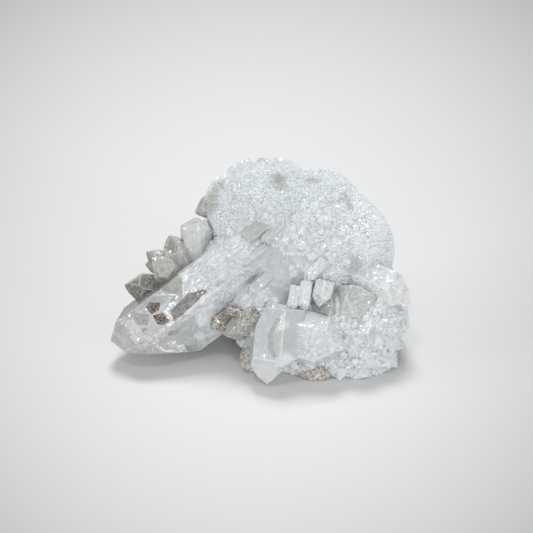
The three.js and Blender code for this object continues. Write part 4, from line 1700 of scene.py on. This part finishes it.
@dataclass
class Crust:
    """The druse: small crystals all over the swells, and long prisms along the ridge.

    Attributes:
        seed: Picks the places and sizes.
        ridge_across: The least and the greatest distance from the big crystal's axis where the ridge runs.
        ridge_along: How far from the big crystal's tip the ridge begins and ends.
        bald_spots: Where the skin is bare and how far: the hollow under the dome, and behind the milky block.
        clump: The middle and the reach of the clump of clear points over the hollow.
        back_from: The least Y part of the way that the skin of the far side faces.
        tries: How many places are tried for each one that is used.
        lowest: The least height of a grain's place above the base.
        in_swell: How deep in another swell a grain's place may be.
        in_crystal: How deep in a large crystal it may be.
        rises: The least and the greatest height of a grain, in half widths.
        root: How far a grain reaches below its place, in half widths.
        grain_pyramid: The height of the pyramid of a grain with upright sides, in half widths.
        bar_pyramid: The same of a prism of the ridge.
        strip: How wide the strip along each long edge is, as a share of a side; it is a painted highlight.
        barred: How far from the big crystal's tip the prisms on its sides begin and end.
        bar_lengths: The least and the greatest length of a prism of the ridge, in half widths.
        bar_depths: How deep the middle of such a prism lies in the skin, in half widths.
    """

    seed: int = 5
    ridge_across: tuple[float, float] = (-9.0, 17.0)
    ridge_along: tuple[float, float] = (28.0, 61.0)
    bald_spots: tuple[tuple[Triple, float], ...] = (((8.4, -9.5, 24.5), 6.5), ((-4.0, -17.0, 7.0), 6.0))
    clump: tuple[Triple, float] = ((17.0, -7.0, 37.0), 11.0)
    back_from: float = 0.35
    tries: int = 5
    lowest: float = 0.25
    in_swell: float = 0.15
    in_crystal: float = 0.3
    rises: tuple[float, float] = (0.85, 1.45)
    root: float = 1.1
    grain_pyramid: float = 0.9
    bar_pyramid: float = 1.27
    strip: float = 0.1
    barred: tuple[float, float] = (30.0, 62.0)
    bar_lengths: tuple[float, float] = (3.0, 6.0)
    bar_depths: tuple[float, float] = (0.6, 0.86)

    def build(self) -> None:
        """Makes the druse of each part of the cluster, and the prisms of the ridge."""
        prism = Habit.PRISM
        for layer in (
            Layer("dome_druse", DOME, 0.62, 1, 0.44, 0.2, FINE_DRUSE, self.is_front),
            Layer("far_druse", BACK, 0.82, 2, 0.56, 0.22, FINE_DRUSE, self.is_back),
            Layer("far_points", BACK, 2.9, 10, 1.1, 0.3, GLASSY_POINTS, self.is_in_back_clumps, prism, 0.3),
            Layer("foot_druse", FOOT, 1.05, 3, 0.8, 0.35, GLASSY_POINTS, self.is_off_ridge, prism, 0.2),
            Layer("foot_points", FOOT, 3.2, 8, 1.5, 0.4, GLASSY_POINTS, self.is_off_ridge, prism, 0.2),
            Layer("foot_crystals", FOOT, 4.6, 12, 2.4, 0.4, GLASSY_POINTS, self.is_at_edge, prism, 0.4),
            Layer("dome_points", DOME_FRONT, 2.0, 9, 0.62, 0.35, FINE_DRUSE, self.is_in_front_clumps, prism,
                  0.4),
            Layer("dome_clumps", DOME_FRONT, 2.3, 13, 1.2, 0.5, GLASSY_POINTS, self.is_in_clump, prism, 0.5),
            Layer("hidden_druse", UNDER_RIDGE, 0.9, 5, 0.6, 0.24, COARSE_DRUSE, self.is_not_back),
        ):
            self.grow(layer)
        self.lay("ridge_bars", 4.0, (0.7, 1.2), 4)
        self.lay("ridge_prisms", 1.4, (0.35, 0.7), 6)
        self.lay("ridge_grains", 0.9, (0.25, 0.42), 7)

    def is_on_ridge(self, places: np.ndarray, ways: np.ndarray) -> np.ndarray:
        """Which places are on the ridge: beside the big crystal's axis, on the side that faces the front.

        Args:
            places: Places on the skin.
            ways: The ways that the skin faces there.

        Returns:
            True for each place that is. The other tests of places take and give the same.
        """
        axis, first, second = CLEAR_POINT.axes
        from_tip = places - np.array(CLEAR_POINT.tip)
        along, across = -from_tip @ axis, from_tip @ first
        fringe = 2.5 * waves(places, 6.0, 3)
        return ((across + fringe > self.ridge_across[0]) & (across + fringe < self.ridge_across[1])
                & (along > self.ridge_along[0]) & (along + fringe < self.ridge_along[1])
                & (ways @ second > 0.1))

    def is_off_ridge(self, places: np.ndarray, ways: np.ndarray) -> np.ndarray:
        """Which places aren't on the ridge."""
        return ~self.is_on_ridge(places, ways)

    def is_back(self, places: np.ndarray, ways: np.ndarray) -> np.ndarray:
        """Which places are on the far side."""
        return ways[:, 1] >= self.back_from

    def is_not_back(self, places: np.ndarray, ways: np.ndarray) -> np.ndarray:
        """Which places aren't on the far side."""
        return ~self.is_back(places, ways)

    def is_front(self, places: np.ndarray, ways: np.ndarray) -> np.ndarray:
        """Which places are neither on the far side nor on the ridge."""
        return self.is_not_back(places, ways) & self.is_off_ridge(places, ways)

    def is_in_front_clumps(self, places: np.ndarray, ways: np.ndarray) -> np.ndarray:
        """Which places of the front are in the clumps of larger points."""
        return self.is_front(places, ways) & (waves(places, 14.0, 6) > 0.1)

    def is_in_clump(self, places: np.ndarray, ways: np.ndarray) -> np.ndarray:
        """Which places are in the clump of clear points over the hollow."""
        middle, reach = self.clump
        return np.linalg.norm(places - np.array(middle), axis=1) < reach + 4 * waves(places, 9.0, 13)

    def is_at_edge(self, places: np.ndarray, ways: np.ndarray) -> np.ndarray:
        """Which places of the foot are at its right end or low down."""
        right, low = places[:, 0] > 28, places[:, 2] < 8
        return self.is_off_ridge(places, ways) & (right | low)

    def is_in_back_clumps(self, places: np.ndarray, ways: np.ndarray) -> np.ndarray:
        """Which places of the far side are in clumps of points, clear of the far crystals."""
        kept = (ways[:, 1] >= 0.6) & (waves(places, 16.0, 8) > 0.1)
        gap = 1.2
        for crystal in FAR_CRYSTALS:
            kept &= crystal.depth(places) < -gap
        return kept

    def sites(self, swells: Sequence[int], spacing: float, salt: int) -> tuple[np.ndarray, np.ndarray]:
        """Places on the outer skin, about one for each cell of a lattice.

        Args:
            swells: The numbers of the swells that carry them.
            spacing: The size of a cell.
            salt: Picks the places.

        Returns:
            The places and the ways that the skin faces there.
        """
        random = np.random.default_rng(self.seed + salt)
        found_places, found_ways = [], []
        for number in swells:
            swell = SWELLS[number]
            area = 4 * math.pi * np.prod(swell.half) ** (2 / 3)
            ball = unit(random.normal(size=(int(self.tries * area / spacing ** 2), 3)))
            stretch = np.linalg.norm(ball / np.array(swell.half), axis=1)
            ball = ball[random.uniform(size=len(ball)) < stretch / stretch.max()]
            places, ways = swell.places(ball)
            free = places[:, 2] > self.lowest
            for i, other in enumerate(SWELLS):
                if i != number:
                    free &= other.depth(places) < self.in_swell
            found_places.append(places[free])
            found_ways.append(ways[free])
        places, ways = np.concatenate(found_places), np.concatenate(found_ways)
        cells = np.floor(places / spacing).astype(int)
        picked = np.unique(cells, axis=0, return_index=True)[1]
        places, ways = places[picked], ways[picked]
        free = np.ones(len(places), bool)
        for centre, reach in self.bald_spots:
            free &= np.linalg.norm(places - np.array(centre), axis=1) > reach + 1.5 * waves(places, 4.0, 4)
        for crystal in ALL_CRYSTALS:
            free &= crystal.depth(places) < self.in_crystal
        return places[free], ways[free]

    def grow(self, layer: Layer) -> None:
        """Grows a layer of grains.

        Args:
            layer: The layer.
        """
        places, ways = self.sites(layer.swells, layer.spacing, layer.salt)
        kept = layer.keeps(places, ways)
        places, ways = places[kept], ways[kept]
        random = np.random.default_rng(self.seed + 100 + layer.salt)
        count = len(places)
        ways = unit(ways + layer.lean * random.normal(size=(count, 3)))
        half = layer.half * np.exp(0.25 * random.normal(size=count))
        places = places - ways * (layer.sunk * half)[:, None]
        rise = half * random.uniform(*self.rises, count)
        tone = random.uniform(size=count)
        grains = Grains(places, ways, half, rise, half * self.root, tone, layer.salt)
        if layer.habit is Habit.PRISM:
            shoulder = 1 - self.grain_pyramid * half / rise
            grains = replace(grains, shoulder=shoulder, edge=self.strip)
        wear(grains.skin().to_object(layer.name), layer.finish)

    def lay(self, name: str, spacing: float, halves: tuple[float, float], salt: int) -> None:
        """Lays prisms along the ridge, each nearly parallel to the big crystal and half sunk in the skin.

        Args:
            name: The piece's name.
            spacing: About how far apart they are.
            halves: The least and the greatest half width.
            salt: Picks their places and sizes.
        """
        random = np.random.default_rng(self.seed + 100 + salt)
        on_sides, side_ways = CLEAR_POINT.scatter(random, spacing, *self.barred)
        outside = np.ones(len(on_sides), bool)
        for i, swell in enumerate(SWELLS):
            if i != RIDGE:
                outside &= swell.depth(on_sides) < 0.5
        on_swells, swell_ways = self.sites(RIDGE_SIDES, spacing, 40 + salt)
        ridge = self.is_on_ridge(on_swells, swell_ways)
        places = np.concatenate((on_sides[outside], on_swells[ridge]))
        facing = np.concatenate((side_ways[outside], swell_ways[ridge]))
        count = len(places)
        half = random.uniform(*halves, count)
        rise = 0.5 * (half * random.uniform(*self.bar_lengths, count))
        places = places - facing * (half * random.uniform(*self.bar_depths, count))[:, None]
        axis = CLEAR_POINT.axes[0]
        flat = unit(axis - 0.6 * (facing @ axis)[:, None] * facing)
        ways = unit(flat + 0.06 * random.normal(size=(count, 3)))
        skin = Grains(places, ways, half, rise, rise, random.uniform(size=count), salt,
                      1 - self.bar_pyramid * half / rise, self.strip,
                      CLEAR_POINT.outward(0.5)).skin()
        wear(skin.to_object(name), RIDGE_GRAINS)


@dataclass
class LargeCrystals:
    """The crystals that can be told apart, and what shows in the clear point and the block.

    Attributes:
        bevel: How far their edges are cut off, at most.
        bevel_share: The same as a share of the half width.
        blade: The number of the plane of the clear point that the dark film covers.
        film_share: How much of that face it covers, each way.
    """

    bevel: float = 0.12
    bevel_share: float = 0.05
    blade: int = 7
    film_share: float = 0.97

    def build(self) -> None:
        """Makes the crystals and the plates, each finish in one piece."""
        self.group(POINT_GROUP)
        for inlay in INLAYS:
            skin = Skin.joined([plate.skin(inlay.crystal) for plate in inlay.plates])
            wear(skin.to_object(inlay.name), inlay.finish)
        self.coat("blade_film", CLEAR_POINT, self.blade, BLADE_FILM)
        for group in GROUPS:
            self.group(group)

    def coat(self, name: str, crystal: Crystal, plane: int, finish: Film) -> None:
        """Makes a film over one whole face of a crystal.

        Args:
            name: The piece's name.
            crystal: The crystal.
            plane: The number of the face's plane.
            finish: The film's finish.
        """
        normals, reaches = crystal.planes()
        corners, faces = convex_body(normals, reaches)
        ring = next(face.ring for face in faces if face.plane == plane)
        middle = corners[ring].mean(0)
        above = middle + self.film_share * (corners[ring] - middle) + FILM_PROUD * normals[plane]
        wear(film(above, normals[plane]).to_object(name), finish)

    def group(self, group: Group) -> None:
        """Makes crystals of one finish."""
        skin = Skin.joined([
            crystal.skin(min(self.bevel, self.bevel_share * crystal.half), group.inset * crystal.half)
            for crystal in group.crystals])
        wear(skin.to_object(group.name), group.finish)


@dataclass(frozen=True)
class Lamp:
    """A square soft light that faces the cluster.

    Attributes:
        name: Its name.
        place: Where it stands, in metres.
        side: Its side, in metres.
        power: Its power, in watts.
    """

    name: str
    place: Triple
    side: float
    power: float


LAMPS = (
    Lamp("key", (-0.03, 0.48, 1.20), 0.45, 9.2),
    Lamp("fill", (0.1, -1.2, 0.32), 1.0, 5.8),
    Lamp("left panel", (-1.1, -0.2, 0.45), 0.6, 1.3),
    Lamp("right panel", (0.95, -0.85, 0.2), 0.5, 1.2),
    # small lamps, which the facets mirror as sparkles
    Lamp("upper sparkle", (-0.15, -0.4, 0.75), 0.1, 0.8),
    Lamp("left sparkle", (-0.85, -0.42, 0.28), 0.13, 0.8),
    Lamp("right sparkle", (0.62, -0.7, 0.24), 0.13, 0.8),
)


@dataclass
class Studio:
    """The pale floor, the lights and the camera. Its lengths are in metres.

    Attributes:
        rise: How far the camera looks down, in degrees.
        distance: How far it is from the middle of the cluster.
        target: What it looks at.
        lens: Its focal length, in millimetres.
        sky: The colour of the light from all around.
        sky_power: How strong that is.
        floor_half: Half the side of the floor.
        paper: The shade of the floor in the middle of its painted pool of light and that far from it.
    """

    rise: float = 25.0
    distance: float = 0.378
    target: Triple = (0.0018, 0.0, 0.0272)
    lens: float = 85.0
    sky: Triple = (0.96, 0.98, 1.0)
    sky_power: float = 0.34
    floor_half: float = 4.0
    paper: tuple[float, float] = (0.81, 0.51)

    def build(self) -> None:
        """Makes the floor, the lights and the camera."""
        scene = bpy.context.scene
        scene.view_settings.view_transform = "Standard"
        self.floor()
        for lamp in LAMPS:
            self.light(lamp)
        world = bpy.data.worlds.new("studio")
        world.use_nodes = True
        background = world.node_tree.nodes["Background"]
        background.inputs["Color"].default_value = (*self.sky, 1.0)
        background.inputs["Strength"].default_value = self.sky_power
        scene.world = world
        self.camera()

    def camera(self) -> None:
        """Makes the camera and gives it to the scene."""
        data = bpy.data.cameras.new("camera")
        data.lens = self.lens
        data.sensor_width = 36.0
        data.clip_start = 0.01
        camera = bpy.data.objects.new("camera", data)
        angle = math.radians(self.rise)
        back = Vector((0.0, -math.cos(angle), math.sin(angle)))
        camera.location = Vector(self.target) + back * self.distance
        camera.rotation_euler = (-back).to_track_quat("-Z", "Y").to_euler()
        bpy.context.scene.collection.objects.link(camera)
        bpy.context.scene.camera = camera

    def light(self, lamp: Lamp) -> None:
        """Makes a light.

        Args:
            lamp: Its name, place, side and power.
        """
        data = bpy.data.lights.new(lamp.name, "AREA")
        data.size = lamp.side
        data.energy = lamp.power
        light = bpy.data.objects.new(lamp.name, data)
        light.location = lamp.place
        light.rotation_euler = (Vector(self.target) - Vector(lamp.place)).to_track_quat("-Z", "Y").to_euler()
        bpy.context.scene.collection.objects.link(light)

    def floor(self) -> None:
        """Makes the floor, a large square of paper at the ground.

        The paper has a painted pool of light: it is palest in an oval pool around the cluster, which widens
        towards the back, and is painted darker outwards, so that the corners of the view are darker. With x
        and y in metres, its painted shade goes with the square of x and the square of 0.4226 y - 0.0246, over
        the square of 0.9063 y + 0.3895.
        """
        mesh = bpy.data.meshes.new("floor")
        half = self.floor_half
        corners = [(-half, -half, 0), (half, -half, 0), (half, half, 0), (-half, half, 0)]
        mesh.from_pydata(corners, [], [(0, 1, 2, 3)])
        floor = bpy.data.objects.new("floor", mesh)
        bpy.context.scene.collection.objects.link(floor)
        recipe = Recipe("paper")
        parts = recipe.add("ShaderNodeSeparateXYZ", Vector=recipe.coordinates)
        x, y = recipe.result(parts, "X"), recipe.result(parts, "Y")
        near, width = y * 0.4226 - 0.0246, y * 0.9063 + 0.3895
        # away grows outwards from the middle of the pool, and the paper is painted darker with it: a painted
        # falloff of light
        away = (x * x + near * near) / (width * width) * 11.1
        pale, dark = ((shade, shade, shade) for shade in self.paper)
        recipe.set(Base_Color=recipe.mix(away, pale, dark), Roughness=0.9)
        mesh.materials.append(recipe.material)


def main() -> None:
    """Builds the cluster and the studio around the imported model."""
    logging.basicConfig(level=logging.INFO, format="%(name)s: %(message)s")
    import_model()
    Studio().build()
    Massif().build()
    LargeCrystals().build()
    Crust().build()


if __name__ == "__main__":
    main()
